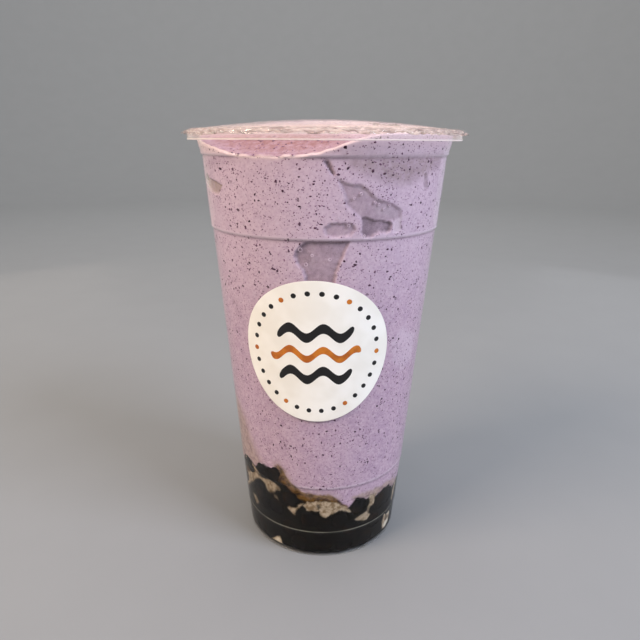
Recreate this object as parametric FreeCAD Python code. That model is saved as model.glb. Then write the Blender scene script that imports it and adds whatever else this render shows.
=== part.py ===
import FreeCAD, Part
import math
import os
from FreeCAD import Vector

# Ube smoothie in a film-sealed 700 ml tea cup, over a bed of tapioca pearls in brown sugar syrup.
# Millimetres, +Z up. The origin is the centre of the cup's foot, on the table. The front is -Y.
# An azimuth is in degrees round the cup from the front, positive towards +X.

# Cup: clear polypropylene, with a rolled rim that takes a sealing film.
CUP_HEIGHT = 156.6
RIM_DIAMETER = 95.0
BASE_DIAMETER = 60.7          # the wall's outside, carried down to the table
WALL = 0.6
RIM_REACH = 3.2               # from the wall's outside to the rim's outside
RIM_DEPTH = 3.3               # from the rim's top down to its skirt's edge
RIM_CORNER = 1.3              # outer rounding of the rolled rim
FLOOR = 0.7
BASE_RECESS = 1.2             # the floor's underside above the table
HEEL_RADIUS = 1.1
FOOT_LAND = 0.9               # width of the flat ring that the cup stands on
RECESS_CORNER = 0.5
FLOOR_CORNER = 1.5            # inside rounding where the floor meets the wall
GATE_DIAMETER = 5.0           # shallow dimple round the moulding gate, under the floor
GATE_DEPTH = 0.25

# Rings where the wall steps outwards: (height, step). The lower two are measured from the table,
# and the upper two, which keep stacked cups apart, from the rim.
FOOT_RING = (11.4, 0.15)
FILL_RING = (32.0, 0.2)
STACK_RING_DROP = 32.1
STACK_RING_STEP = 0.45
NECK_RING_DROP = 7.8
NECK_RING_STEP = 0.5
LEDGE = 0.8                   # height over which a ring's step is made
FLARE = 0.55                  # how far the wall opens just under the rim
FLARE_HEIGHT = 4.0

# Sealing film: welded to the rim's flat top, bulging over the drink, with an uneven cut hem.
FILM = 0.15
FILM_CROWN = 3.5
HEM_REACH = 1.8               # past the rim's outside
HEM_DROOP = 1.7
HEM_BEND = 0.35               # share of the droop that is reached half way out
HEM_WAVE = 0.25
HEM_WAVES = (12, 20)          # ripples round the hem, in multiples of four so that it stays centred

# Smoothie: fills the cup nearly to the film, with a hollow by the wall at the front left.
HEADSPACE = 0.9               # under the film
HOLLOW_AZIMUTH = -22.0
HOLLOW_DEPTH = 7.0
HOLLOW_SPREAD = (50.0, 34.0)  # degrees round the wall, to the left and to the right
HOLLOW_SOFTNESS = 2.5
HOLLOW_REACH = 18.0           # inwards from the wall

# Air pockets trapped between the smoothie and the wall, as outlines of (azimuth, height above the
# stacking ring).
POCKET_DEPTH = 0.9
AIR_POCKETS = (
    ((5.5, 17.8), (15.0, 16.0), (23.0, 12.3), (34.0, 8.5), (31.0, 3.0),
     (23.0, 2.1), (17.5, 2.7), (16.0, 6.5), (9.5, 11.5)),
    ((-12.3, -5.2), (-7.5, -1.9), (0.0, -1.6), (8.3, -2.1), (5.5, -8.0),
     (1.0, -11.3), (-6.8, -11.1)),
    ((-0.2, 23.1), (1.4, 22.5), (4.2, 18.7), (1.8, 20.1)),
    ((-71.0, 17.0), (-62.0, 17.3), (-52.5, 14.9), (-57.0, 12.1), (-67.0, 13.9)),
)

# Pearl bed: a level with mounds of (azimuth, distance in from the wall, rise, spread), most of
# them against the wall.
BED_LEVEL = 22.5
BED_MOUNDS = (
    (-62.0, 2.5, 13.0, 8.0),
    (-40.0, 0.5, 11.0, 6.0),
    (-29.0, 0.5, 13.0, 5.5),
    (-12.0, 0.5, 6.5, 6.0),
    (3.0, 0.5, 5.0, 7.0),
    (24.0, 0.5, 3.5, 4.0),
    (35.0, 0.5, 2.5, 3.5),
    (50.0, 0.5, 3.0, 5.0),
    (80.0, 2.5, 5.0, 7.0),
    (105.0, 3.5, 8.5, 8.0),
    (135.0, 2.5, 5.0, 7.0),
    (165.0, 3.5, 8.0, 8.0),
    (-160.0, 2.5, 4.5, 7.0),
    (-130.0, 3.5, 9.5, 9.0),
    (-95.0, 2.5, 7.0, 8.0),
    (0.0, 31.5, 7.0, 12.0),
    (150.0, 16.5, 4.0, 7.0),
    (-90.0, 16.5, 5.0, 8.0),
)

# Label: a round paper sticker wrapped on the wall, below the stacking ring.
LABEL_DIAMETER = 50.8
LABEL = 0.15
LABEL_AZIMUTH = -4.0
LABEL_GAP = 12.5              # from the stacking ring down to the label's edge

SURFACE_CELLS = 32            # grid cells across an uneven surface
LABEL_POINTS = 24             # points that the label's outline is drawn through
SLEEVE_MARGIN = 2.0           # how far a sleeve runs past the piece that is trimmed from it

rim_radius = RIM_DIAMETER / 2
base_radius = BASE_DIAMETER / 2
mouth_radius = rim_radius - RIM_REACH
mouth_height = CUP_HEIGHT - RIM_DEPTH
bore_radius = mouth_radius - WALL
floor_height = BASE_RECESS + FLOOR
land_inner = bore_radius + RIM_CORNER
land_outer = rim_radius - RIM_CORNER
# Every step of the wall, as (its lowest height, its upper height, how far the wall moves out).
STEPS = [
    (ring - LEDGE / 2, ring + LEDGE / 2, step)
    for ring, step in (
        FOOT_RING,
        FILL_RING,
        (CUP_HEIGHT - STACK_RING_DROP, STACK_RING_STEP),
        (CUP_HEIGHT - NECK_RING_DROP, NECK_RING_STEP),
    )
]
STEPS.append((mouth_height - FLARE_HEIGHT, mouth_height, FLARE))
stack_ring = CUP_HEIGHT - STACK_RING_DROP
taper = (mouth_radius - base_radius - sum(step for _, _, step in STEPS)) / mouth_height
dome_radius = (land_inner**2 + FILM_CROWN**2) / (2 * FILM_CROWN)


def wall_radius(height):
    """The wall's outer radius at a height: a steady taper, plus each step that is passed."""
    radius = base_radius + taper * height
    for foot, head, step in STEPS:
        share = (height - foot) / (head - foot)
        radius += step * min(max(share, 0.0), 1.0)
    return radius


def wall_points(inset, low, high):
    """Corners (radius, height) of the wall's outside between two heights, moved in by inset."""
    breaks = sorted(height for foot, head, _ in STEPS for height in (foot, head))
    heights = [low] + [height for height in breaks if low < height < high] + [high]
    return [(wall_radius(height) - inset, height) for height in heights]


def dome_rise(radius):
    """How far the film's round cap stands above the rim at a distance from the axis."""
    return math.sqrt(dome_radius**2 - radius**2) - (dome_radius - FILM_CROWN)


def place(azimuth, radius, height):
    """A point given by its azimuth, its distance from the axis and its height."""
    angle = math.radians(azimuth)
    return Vector(radius * math.sin(angle), -radius * math.cos(angle), height)


def line(a, b):
    """An edge between two (radius, height) points of a profile in the XZ plane."""
    return Part.LineSegment(Vector(a[0], 0, a[1]), Vector(b[0], 0, b[1])).toShape()


def lines(points):
    """Edges along a run of profile points."""
    return [line(a, b) for a, b in zip(points, points[1:])]


def arc(a, middle, b):
    """An arc edge through three profile points."""
    a, middle, b = (Vector(r, 0, z) for r, z in (a, middle, b))
    return Part.Arc(a, middle, b).toShape()


def corner(centre, radius, start, end):
    """A rounded profile corner about a centre, between two directions in degrees."""
    def at(degrees):
        angle = math.radians(degrees)
        return (centre[0] + radius * math.cos(angle), centre[1] + radius * math.sin(angle))

    return arc(at(start), at((start + end) / 2), at(end))


def turned(edges):
    """The solid that a closed profile makes when it is turned about the cup's axis."""
    wire = Part.Wire(Part.__sortEdges__(edges))
    solid = Part.Face(wire).revolve(Vector(0, 0, 0), Vector(0, 0, 1), 360)
    solid = solid if solid.ShapeType == "Solid" else Part.Solid(solid)
    if solid.Volume < 0:
        solid.reverse()
    return solid


def wall_band(outer_inset, inner_inset, low, high):
    """A thin sleeve that follows the wall, between two insets from its outside."""
    outer = wall_points(outer_inset, low, high)
    inner = wall_points(inner_inset, low, high)
    return turned(lines(outer + inner[::-1] + outer[:1]))


def cavity_profile(top):
    """Edges of the cup's inside, from the axis along the floor and up the wall to a height."""
    start = floor_height + FLOOR_CORNER
    wall = wall_points(WALL, start, top)
    heel = wall[0][0] - FLOOR_CORNER
    return (
        [line((0, floor_height), (heel, floor_height))]
        + [corner((heel, start), FLOOR_CORNER, -90, 0)]
        + lines(wall)
    )


def cup():
    """The cup: foot ring, recessed floor, stepped wall and a rolled rim that is hollow below."""
    heel_top = HEEL_RADIUS
    heel_outside = wall_radius(heel_top)
    land = heel_outside - HEEL_RADIUS
    land_inside = land - FOOT_LAND
    recess_edge = land_inside - RECESS_CORNER
    gate = GATE_DIAMETER / 2
    gate_height = BASE_RECESS + GATE_DEPTH
    groove = RIM_REACH - WALL
    groove_top = CUP_HEIGHT - WALL - groove / 2
    groove_centre = (mouth_radius + groove / 2, groove_top)
    rim_corner_height = CUP_HEIGHT - RIM_CORNER
    outside = wall_points(0, heel_top, mouth_height)
    foot = (
        lines([(0, gate_height), (gate, gate_height), (gate + GATE_DEPTH, BASE_RECESS)])
        + [line((gate + GATE_DEPTH, BASE_RECESS), (recess_edge, BASE_RECESS))]
        + [corner((recess_edge, BASE_RECESS - RECESS_CORNER), RECESS_CORNER, 90, 0)]
        + lines([(land_inside, BASE_RECESS - RECESS_CORNER), (land_inside, 0), (land, 0)])
        + [corner((land, HEEL_RADIUS), HEEL_RADIUS, -90, 0)]
    )
    rim = (
        lines([outside[-1], (mouth_radius, groove_top)])
        + [corner(groove_centre, groove / 2, 180, 0)]
        + lines([(rim_radius - WALL, groove_top), (rim_radius - WALL, mouth_height)])
        + lines([(rim_radius - WALL, mouth_height), (rim_radius, mouth_height)])
        + lines([(rim_radius, mouth_height), (rim_radius, rim_corner_height)])
        + [corner((land_outer, rim_corner_height), RIM_CORNER, 0, 90)]
        + lines([(land_outer, CUP_HEIGHT), (land_inner, CUP_HEIGHT)])
        + [corner((land_inner, rim_corner_height), RIM_CORNER, 90, 180)]
        + lines([(bore_radius, rim_corner_height), (bore_radius, mouth_height)])
    )
    axis = [line((0, gate_height), (0, floor_height))]
    return turned(foot + lines(outside) + rim + cavity_profile(mouth_height) + axis)


def cavity():
    """The space inside the cup, carried straight up from the bore to the height of the film."""
    top = CUP_HEIGHT + FILM_CROWN
    rest = lines([(bore_radius, mouth_height), (bore_radius, top), (0, top), (0, floor_height)])
    return turned(cavity_profile(mouth_height) + rest)


def uneven(height_at, lift):
    """The space above (lift > 0) or below a surface that is given by its height at each x, y."""
    reach = rim_radius + 2
    steps = [reach * (2 * i / SURFACE_CELLS - 1) for i in range(SURFACE_CELLS + 1)]
    surface = Part.BSplineSurface()
    surface.interpolate([[Vector(x, y, height_at(x, y)) for y in steps] for x in steps])
    return surface.toShape().extrude(Vector(0, 0, lift))


def bed_height(x, y):
    """The pearl bed's top: a level, plus a smooth hill for each mound."""
    height = BED_LEVEL
    inside = wall_radius(BED_LEVEL) - WALL
    for azimuth, inset, rise, spread in BED_MOUNDS:
        centre = place(azimuth, inside - inset, 0)
        height += rise * math.exp(-((x - centre.x) ** 2 + (y - centre.y) ** 2) / spread**2)
    return height


def drink_height(x, y):
    """The smoothie's top: a low dome under the film, less the hollow by the wall."""
    radius = math.hypot(x, y)
    turn = (math.degrees(math.atan2(x, -y)) - HOLLOW_AZIMUTH + 180) % 360 - 180
    across = (abs(turn) / HOLLOW_SPREAD[turn > 0]) ** HOLLOW_SOFTNESS
    inwards = (max(bore_radius - radius, 0.0) / HOLLOW_REACH) ** 2
    return CUP_HEIGHT + dome_rise(radius) - HEADSPACE - HOLLOW_DEPTH * math.exp(-across - inwards)


def air_pocket(outline):
    """A shallow pocket in the smoothie's side, cut straight in along the middle of its outline."""
    middle = sum(azimuth for azimuth, _ in outline) / len(outline)
    heights = [stack_ring + above for _, above in outline]
    points = []
    for (azimuth, _), height in zip(outline, heights):
        turn = math.radians(azimuth - middle)
        across = wall_radius(height) * math.sin(turn)
        points.append(Vector(across, -rim_radius, height))
    curve = Part.BSplineCurve()
    curve.interpolate(points, PeriodicFlag=True)
    prism = Part.Face(Part.Wire(curve.toShape())).extrude(Vector(0, rim_radius, 0))
    prism.rotate(Vector(0, 0, 0), Vector(0, 0, 1), middle)
    low = min(heights) - SLEEVE_MARGIN
    high = max(heights) + SLEEVE_MARGIN
    sleeve = wall_band(0, WALL + POCKET_DEPTH, low, high)
    return prism.common(sleeve)


def sealing_film():
    """The film: a low dome over the bore, a flat weld on the rim's land and a drooping hem."""
    hem = rim_radius + HEM_REACH + HEM_WAVE * len(HEM_WAVES)
    drop = HEM_DROOP * (hem - land_outer) / (rim_radius + HEM_REACH - land_outer)
    across = (land_outer + hem) / 2

    half_way = land_inner / 2

    def skin(lift):
        """Edges of one face of the film, from the axis to the hem, raised by lift."""
        top = CUP_HEIGHT + lift
        return [
            arc((0, top + FILM_CROWN), (half_way, top + dome_rise(half_way)), (land_inner, top)),
            line((land_inner, top), (land_outer, top)),
            arc((land_outer, top), (across, top - drop * HEM_BEND), (hem, top - drop)),
        ]

    crown = CUP_HEIGHT + FILM_CROWN
    edge = CUP_HEIGHT - drop
    ends = [line((0, crown), (0, crown + FILM)), line((hem, edge), (hem, edge + FILM))]
    return turned(skin(0) + skin(FILM) + ends).common(hem_outline())


def hem_outline():
    """A tall prism with the hem's rippled outline."""
    points = []
    count = 4 * max(HEM_WAVES)
    for i in range(count):
        angle = 2 * math.pi * i / count
        ripple = sum(math.cos(waves * angle) for waves in HEM_WAVES)
        radius = rim_radius + HEM_REACH + HEM_WAVE * ripple / len(HEM_WAVES)
        points.append(Vector(radius * math.cos(angle), radius * math.sin(angle), mouth_height))
    curve = Part.BSplineCurve()
    curve.interpolate(points, PeriodicFlag=True)
    height = RIM_DEPTH + FILM_CROWN + 2 * FILM + 1
    return Part.Face(Part.Wire(curve.toShape())).extrude(Vector(0, 0, height))


def label():
    """The round sticker: a sleeve on the wall's outside, trimmed to a circle that is wrapped on it."""
    radius = LABEL_DIAMETER / 2
    centre = stack_ring - LABEL_GAP - radius
    curl = wall_radius(centre)
    slope = math.cos(math.atan(taper))
    points = []
    for i in range(LABEL_POINTS):
        angle = 2 * math.pi * i / LABEL_POINTS
        across = curl * math.sin(radius * math.cos(angle) / curl)
        points.append(Vector(across, -rim_radius, centre + radius * math.sin(angle) * slope))
    curve = Part.BSplineCurve()
    curve.interpolate(points, PeriodicFlag=True)
    prism = Part.Face(Part.Wire(curve.toShape())).extrude(Vector(0, rim_radius, 0))
    prism.rotate(Vector(0, 0, 0), Vector(0, 0, 1), LABEL_AZIMUTH)
    reach = radius + SLEEVE_MARGIN
    sleeve = wall_band(-LABEL, 0, centre - reach, centre + reach)
    return prism.common(sleeve)


def contents():
    """The pearl bed and the smoothie above it, which share one uneven surface."""
    space = cavity()
    below_bed = uneven(bed_height, -CUP_HEIGHT)
    bed = space.common(below_bed)
    drink = space.cut(below_bed).cut(uneven(drink_height, CUP_HEIGHT))
    for outline in AIR_POCKETS:
        drink = drink.cut(air_pocket(outline))
    return bed, drink


def main():
    """Builds every piece and writes one STEP file for each."""
    os.makedirs("parts", exist_ok=True)
    bed, drink = contents()
    pieces = {
        "cup": cup(),
        "pearl_bed": bed,
        "smoothie": drink,
        "sealing_film": sealing_film(),
        "label": label(),
    }
    for name, shape in pieces.items():
        solid = shape.Solids[0]
        print(name, len(shape.Solids), "solid", round(solid.Volume / 1000, 2), "ml", solid.isValid())
        solid.exportStep(os.path.join("parts", name + ".step"))


main()
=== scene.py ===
"""Ube smoothie over tapioca pearls in a film-sealed clear cup.

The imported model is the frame. Each of its five nodes is replaced by a finer surface of the same
size and place: the moulded cup, the smoothie with its flecks and air pockets, the pearls in their
syrup, the crimped film and the round sticker with its print.

Shapes are worked out in millimetres. An azimuth is in degrees round the cup from the front (-Y),
positive towards +X, and a height is above the surface that the cup stands on.
"""

from __future__ import annotations

import logging
import math
from dataclasses import dataclass, field
from enum import Enum
from typing import Any, Callable, Sequence

import bpy
import numpy as np
from mathutils import Matrix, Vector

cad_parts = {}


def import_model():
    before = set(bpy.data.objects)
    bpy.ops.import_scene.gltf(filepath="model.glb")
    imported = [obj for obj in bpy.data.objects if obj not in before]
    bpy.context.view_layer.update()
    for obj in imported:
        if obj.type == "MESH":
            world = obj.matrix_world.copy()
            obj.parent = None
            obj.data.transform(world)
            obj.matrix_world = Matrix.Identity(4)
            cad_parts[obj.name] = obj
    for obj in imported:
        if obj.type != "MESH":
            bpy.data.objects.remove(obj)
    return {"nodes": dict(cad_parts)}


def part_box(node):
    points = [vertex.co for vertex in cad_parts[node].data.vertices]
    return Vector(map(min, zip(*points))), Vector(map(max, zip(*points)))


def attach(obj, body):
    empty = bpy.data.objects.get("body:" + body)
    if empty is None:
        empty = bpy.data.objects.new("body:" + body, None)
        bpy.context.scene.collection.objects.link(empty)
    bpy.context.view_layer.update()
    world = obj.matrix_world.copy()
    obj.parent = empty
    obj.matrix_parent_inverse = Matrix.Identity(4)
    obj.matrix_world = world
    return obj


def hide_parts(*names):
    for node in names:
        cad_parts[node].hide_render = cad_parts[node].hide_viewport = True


LOG = logging.getLogger("ube_smoothie")
MM = 0.001
BODY = "root"

Array = np.ndarray
Material = bpy.types.Material
Piece = bpy.types.Object
Socket = bpy.types.NodeSocket
Tree = bpy.types.NodeTree
Shares = dict[str, Array]
Pair = tuple[float, float]
Triple = tuple[float, float, float]
Outline = Sequence[Pair]


# ------------------------------
# Numbers and curves
# ------------------------------


def joined(first: Array, second: Array) -> Array:
    """Either of two shares: 0 where both are 0 and 1 where one of them is 1."""
    return 1.0 - (1.0 - first) * (1.0 - second)


def half_turned(azimuth: Any) -> Any:
    """The same azimuths between -180 and 180 degrees."""
    return (azimuth + 180.0) % 360.0 - 180.0


def on_axis(height: Callable[[Array, Array], Array]) -> float:
    """Reads a height that is given by azimuth and radius on the cup's axis."""
    return float(height(np.zeros(1), np.zeros(1))[0])


def ease(value: Array, low: float | Array, high: float | Array) -> Array:
    """Rises smoothly from 0 at low to 1 at high, by 3t^2 - 2t^3.

    Args:
        value: Where to read the curve.
        low: The value at which it leaves 0.
        high: The value at which it reaches 1.

    Returns:
        A share from 0 to 1 for each value.
    """
    share = np.clip((value - low) / (high - low), 0.0, 1.0)
    return share * share * (3.0 - 2.0 * share)


def on_cup(azimuth: Array, radius: Array, height: Array) -> Array:
    """Points from azimuths in degrees, distances from the axis and heights.

    Returns:
        An array with x, y, z in its last place.
    """
    turn = np.radians(azimuth)
    x, y, z = np.broadcast_arrays(radius * np.sin(turn), -radius * np.cos(turn), height)
    return np.stack([x, y, z], axis=-1)


@dataclass(frozen=True)
class Ripples:
    """Smooth noise over two parameters: a sum of sine waves with seeded directions and phases."""

    seed: int
    count: int
    first: Pair
    second: Pair
    whole: bool = True

    def at(self, u: Array, v: Array) -> Array:
        """Reads the noise.

        Args:
            u: The first parameter, an angle in radians where whole is true.
            v: The second parameter.

        Returns:
            Values of about -1 to 1, in the shape of u and v.
        """
        draw = np.random.default_rng(self.seed)
        waves = draw.uniform(*self.first, self.count)
        waves = np.round(waves) if self.whole else waves
        rates = draw.uniform(*self.second, self.count) * draw.choice([-1.0, 1.0], self.count)
        phases = draw.uniform(0.0, 2.0 * math.pi, self.count)
        u, v = np.broadcast_arrays(u, v)
        total = np.zeros(u.shape)
        for wave, rate, phase in zip(waves, rates, phases):
            total += np.sin(wave * u + rate * v + phase)
        return total * math.sqrt(2.0 / self.count) / 1.6


def inside_share(x: Array, y: Array, outline: Array, soft: float) -> Array:
    """How far points lie inside a closed outline: 0 outside, 1 inside, eased over a soft edge.

    The distance to the outline is the least distance to its sides, and its sign comes from
    counting the sides that a ray towards +x crosses.

    Args:
        x: First coordinates of the points.
        y: Second coordinates of the points.
        outline: The corners, as an array of pairs.
        soft: Width of the soft edge, in the units of the points.

    Returns:
        A share from 0 to 1 for each point.
    """
    nearest = np.full(x.shape, np.inf)
    crossings = np.zeros(x.shape, dtype=int)
    for (ax, ay), (bx, by) in zip(outline, np.roll(outline, -1, axis=0)):
        dx, dy = bx - ax, by - ay
        along = np.clip(((x - ax) * dx + (y - ay) * dy) / (dx * dx + dy * dy + 1e-12), 0.0, 1.0)
        nearest = np.minimum(nearest, np.hypot(x - ax - along * dx, y - ay - along * dy))
        straddles = (ay > y) != (by > y)
        cross_x = ax + (y - ay) * dx / (dy if abs(dy) > 1e-12 else 1e-12)
        crossings += straddles & (x < cross_x)
    signed = np.where(crossings % 2 == 1, nearest, -nearest)
    return ease(signed, -soft / 2, soft / 2)


def rounded_path(corners: Sequence[Triple], steps: int = 6) -> Array:
    """A run of straight lines whose corners are rounded by arcs.

    Args:
        corners: Each corner as (distance from the axis, height, rounding radius).
        steps: How many pieces each arc is made of.

    Returns:
        Points of the path as (distance from the axis, height).
    """
    points = [np.array(corners[0][:2])]
    for before, here, after in zip(corners, corners[1:], corners[2:]):
        corner = np.array(here[:2])
        back = np.array(before[:2]) - corner
        ahead = np.array(after[:2]) - corner
        back /= np.linalg.norm(back)
        ahead /= np.linalg.norm(ahead)
        half = math.acos(float(np.clip(back @ ahead, -1.0, 1.0))) / 2
        if here[2] <= 0 or half > math.pi / 2 - 0.01:
            points.append(corner)
            continue
        middle = (back + ahead) / np.linalg.norm(back + ahead)
        centre = corner + middle * here[2] / math.sin(half)
        start = corner + back * here[2] / math.tan(half) - centre
        end = corner + ahead * here[2] / math.tan(half) - centre
        swing = math.pi - 2 * half
        side = 1.0 if start[0] * end[1] - start[1] * end[0] > 0 else -1.0
        for step in range(steps + 1):
            angle = side * swing * step / steps
            turned = (
                start[0] * math.cos(angle) - start[1] * math.sin(angle),
                start[0] * math.sin(angle) + start[1] * math.cos(angle),
            )
            points.append(centre + np.array(turned))
    points.append(np.array(corners[-1][:2]))
    return np.array(points)


# ------------------------------
# Meshes
# ------------------------------


def outward(points: Array, faces: list[Array]) -> list[Array]:
    """Turns the faces of a closed shape so that they point outwards.

    The sign of the volume, summed over the triangles that fan each face, says which way they point.

    Args:
        points: The vertices.
        faces: Arrays of faces with as many corners in each array.

    Returns:
        The faces, reversed if they pointed inwards.
    """
    volume = 0.0
    for block in faces:
        for k in range(1, block.shape[1] - 1):
            a, b, c = points[block[:, 0]], points[block[:, k]], points[block[:, k + 1]]
            volume += float(np.einsum("ij,ij->", a, np.cross(b, c)))
    return faces if volume > 0 else [block[:, ::-1] for block in faces]


def make_piece(name: str, points: Array, faces: list[Array]) -> Piece:
    """Makes an object at the origin from vertices in millimetres.

    Args:
        name: Name of the piece.
        points: Vertices, one row each.
        faces: Arrays of faces with as many corners in each array.

    Returns:
        The new object, smooth shaded and linked to the scene.
    """
    faces = outward(points, faces)
    loops = np.concatenate([block.ravel() for block in faces]).astype(np.int32)
    sides = np.concatenate([np.full(len(block), block.shape[1]) for block in faces])
    starts = np.concatenate([[0], np.cumsum(sides)[:-1]]).astype(np.int32)
    mesh = bpy.data.meshes.new(name)
    mesh.vertices.add(len(points))
    mesh.vertices.foreach_set("co", (points * MM).astype(np.float32).ravel())
    mesh.loops.add(len(loops))
    mesh.loops.foreach_set("vertex_index", loops)
    mesh.polygons.add(len(starts))
    mesh.polygons.foreach_set("loop_start", starts)
    mesh.polygons.foreach_set("use_smooth", np.ones(len(starts), dtype=bool))
    mesh.update(calc_edges=True)
    piece = bpy.data.objects.new(name, mesh)
    bpy.context.scene.collection.objects.link(piece)
    return piece


def ring_faces(rows: int, columns: int) -> list[Array]:
    """Faces of a closed surface made of rings, shut by a fan at a pole before and after them.

    The vertices are the first pole, then the rings one after another, then the last pole.

    Args:
        rows: How many rings there are.
        columns: How many vertices each ring has.

    Returns:
        The quads between the rings and the triangles of both fans.
    """
    row = np.arange(rows - 1)[:, None] * columns + 1
    here = np.arange(columns)[None, :]
    ahead = (here + 1) % columns
    quads = np.stack([row + here, row + ahead, row + columns + ahead, row + columns + here], -1)
    first, last = here[0] + 1, here[0] + 1 + (rows - 1) * columns
    pole = np.full(columns, rows * columns + 1)
    fans = [
        np.stack([np.zeros_like(first), np.roll(first, -1), first], -1),
        np.stack([pole, last, np.roll(last, -1)], -1),
    ]
    return [quads.reshape(-1, 4), np.concatenate(fans)]


def torus_faces(around: int, across: int) -> list[Array]:
    """Faces of a closed loop whose vertices are given section by section.

    Args:
        around: How many sections the loop has.
        across: How many vertices each section has.

    Returns:
        Its quads.
    """
    row, column = np.meshgrid(np.arange(around), np.arange(across), indexing="ij")
    far, wide = (row + 1) % around, (column + 1) % across
    corners = ((row, column), (far, column), (far, wide), (row, wide))
    return [np.stack([(ring * across + place).ravel() for ring, place in corners], -1)]


def ring_piece(name: str, start: Sequence[float], rings: Array, end: Sequence[float]) -> Piece:
    """Makes a closed piece from a pole, rings of vertices and a second pole.

    Args:
        name: Name of the piece.
        start: The first pole.
        rings: Points as (ring, place round the ring, xyz).
        end: The last pole.

    Returns:
        The new object.
    """
    points = np.concatenate([[start], rings.reshape(-1, 3), [end]])
    return make_piece(name, points, ring_faces(*rings.shape[:2]))


def copies_piece(name: str, points: Array, faces: list[Array]) -> Piece:
    """Joins many closed shapes that share their faces' layout into one piece.

    Args:
        name: Name of the piece.
        points: Points as (copy, vertex, xyz).
        faces: Faces of one copy.

    Returns:
        The new object.
    """
    count, size = points.shape[:2]
    shift = np.arange(count)[:, None, None] * size
    joined = [(block[None] + shift).reshape(-1, block.shape[1]) for block in faces]
    return make_piece(name, points.reshape(-1, 3), joined)


def set_share(piece: Piece, name: str, values: Array) -> None:
    """Stores a number for each vertex as an attribute that a material reads."""
    attribute = piece.data.attributes.new(name, "FLOAT", "POINT")
    attribute.data.foreach_set("value", np.asarray(values, dtype=np.float32).ravel())


def seat(piece: Piece, finish: Material, replaces: str | None = None) -> None:
    """Dresses a piece and fixes it to the body of the frame.

    Args:
        piece: The finished piece.
        finish: Its material.
        replaces: The node of the frame that it stands for, if it is one.
    """
    piece.data.materials.append(finish)
    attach(piece, BODY)
    if replaces:
        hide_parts(replaces)
    piece.data.calc_loop_triangles()
    LOG.info("%s: %d triangles", piece.name, len(piece.data.loop_triangles))


# ------------------------------
# Finishes
# ------------------------------


def linear(colour: str) -> tuple[float, float, float, float]:
    """Turns an sRGB hex value into linear red, green, blue and an alpha of 1."""
    shares = [int(colour[place : place + 2], 16) / 255 for place in (1, 3, 5)]
    curve = [s / 12.92 if s <= 0.04045 else ((s + 0.055) / 1.055) ** 2.4 for s in shares]
    return (curve[0], curve[1], curve[2], 1.0)


def add_node(
    tree: Tree,
    kind: str,
    settings: dict[str, Any] | None = None,
    inputs: dict[str | int, Any] | None = None,
) -> bpy.types.Node:
    """Adds a node to a tree with its settings and inputs.

    Args:
        tree: The node tree.
        kind: The node's type name.
        settings: Properties to set on the node.
        inputs: A value, or another node's output, for each input by name or place.

    Returns:
        The new node.
    """
    node = tree.nodes.new(kind)
    for name, value in (settings or {}).items():
        setattr(node, name, value)
    for key, value in (inputs or {}).items():
        if isinstance(value, Socket):
            tree.links.new(value, node.inputs[key])
        else:
            node.inputs[key].default_value = value
    return node


def blank_material(name: str) -> tuple[Material, Tree]:
    """Makes a material with an empty node tree."""
    material = bpy.data.materials.new(name)
    material.use_nodes = True
    material.node_tree.nodes.clear()
    return material, material.node_tree


def object_scale(tree: Tree) -> Socket:
    """The Object coordinate in millimetres, so that a texture's scale is one over its size."""
    place = add_node(tree, "ShaderNodeTexCoord").outputs["Object"]
    in_mm = (1 / MM, 1 / MM, 1 / MM)
    return add_node(tree, "ShaderNodeMapping", None, {"Vector": place, "Scale": in_mm}).outputs[0]


def noise(
    tree: Tree, place: Socket, size_mm: float, detail: float = 2.0, rough: float = 0.5
) -> Socket:
    """Cloudy noise.

    Args:
        tree: The node tree.
        place: Where it is read.
        size_mm: About how wide its clouds are.
        detail: How many finer layers it has.
        rough: How strong the finer layers are.

    Returns:
        Values of about 0 to 1.
    """
    inputs = {"Vector": place, "Scale": 1 / size_mm, "Detail": detail, "Roughness": rough}
    return add_node(tree, "ShaderNodeTexNoise", None, inputs).outputs[0]


def bump(tree: Tree, height: Socket, height_mm: float, strength: float) -> Socket:
    """The normal of a surface that the height raises by up to height_mm."""
    inputs = {"Height": height, "Distance": height_mm * MM, "Strength": strength}
    return add_node(tree, "ShaderNodeBump", None, inputs).outputs[0]


def stored(tree: Tree, name: str) -> Socket:
    """Reads a share that the piece stores for each vertex."""
    return add_node(tree, "ShaderNodeAttribute", {"attribute_name": name}).outputs["Fac"]


def calculate(tree: Tree, operation: str, first: Socket, second: Socket) -> Socket:
    """Does a sum with two values."""
    inputs = {0: first, 1: second}
    return add_node(tree, "ShaderNodeMath", {"operation": operation}, inputs).outputs[0]


def blend(tree: Tree, share: Socket, under: Any, over: Any) -> Socket:
    """Lays one colour over another by a share."""
    settings = {"data_type": "RGBA", "clamp_factor": True}
    return add_node(tree, "ShaderNodeMix", settings, {0: share, 6: under, 7: over}).outputs[2]


def ramp(tree: Tree, value: Socket, low: float, high: float, top: float = 1.0) -> Socket:
    """Eases a value from 0 at low to top at high."""
    settings = {"interpolation_type": "SMOOTHSTEP"}
    inputs = {"Value": value, "From Min": low, "From Max": high, "To Max": top}
    return add_node(tree, "ShaderNodeMapRange", settings, inputs).outputs[0]


def spread(tree: Tree, value: Socket, given: Pair, wanted: Pair) -> Socket:
    """Maps a value in a straight line from one span to another, and holds it at both ends."""
    ends = {"From Min": given[0], "From Max": given[1], "To Min": wanted[0], "To Max": wanted[1]}
    return add_node(tree, "ShaderNodeMapRange", None, {"Value": value, **ends}).outputs[0]


def surface(
    tree: Tree, colour: Any, roughness: float, more: dict[str, Any] | None = None
) -> Socket:
    """A plain surface shader.

    Args:
        tree: The node tree.
        colour: Its colour.
        roughness: How dull it is.
        more: Further inputs by name.

    Returns:
        The shader.
    """
    inputs = {"Base Color": colour, "Roughness": roughness, **(more or {})}
    return add_node(tree, "ShaderNodeBsdfPrincipled", None, inputs).outputs[0]


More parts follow.
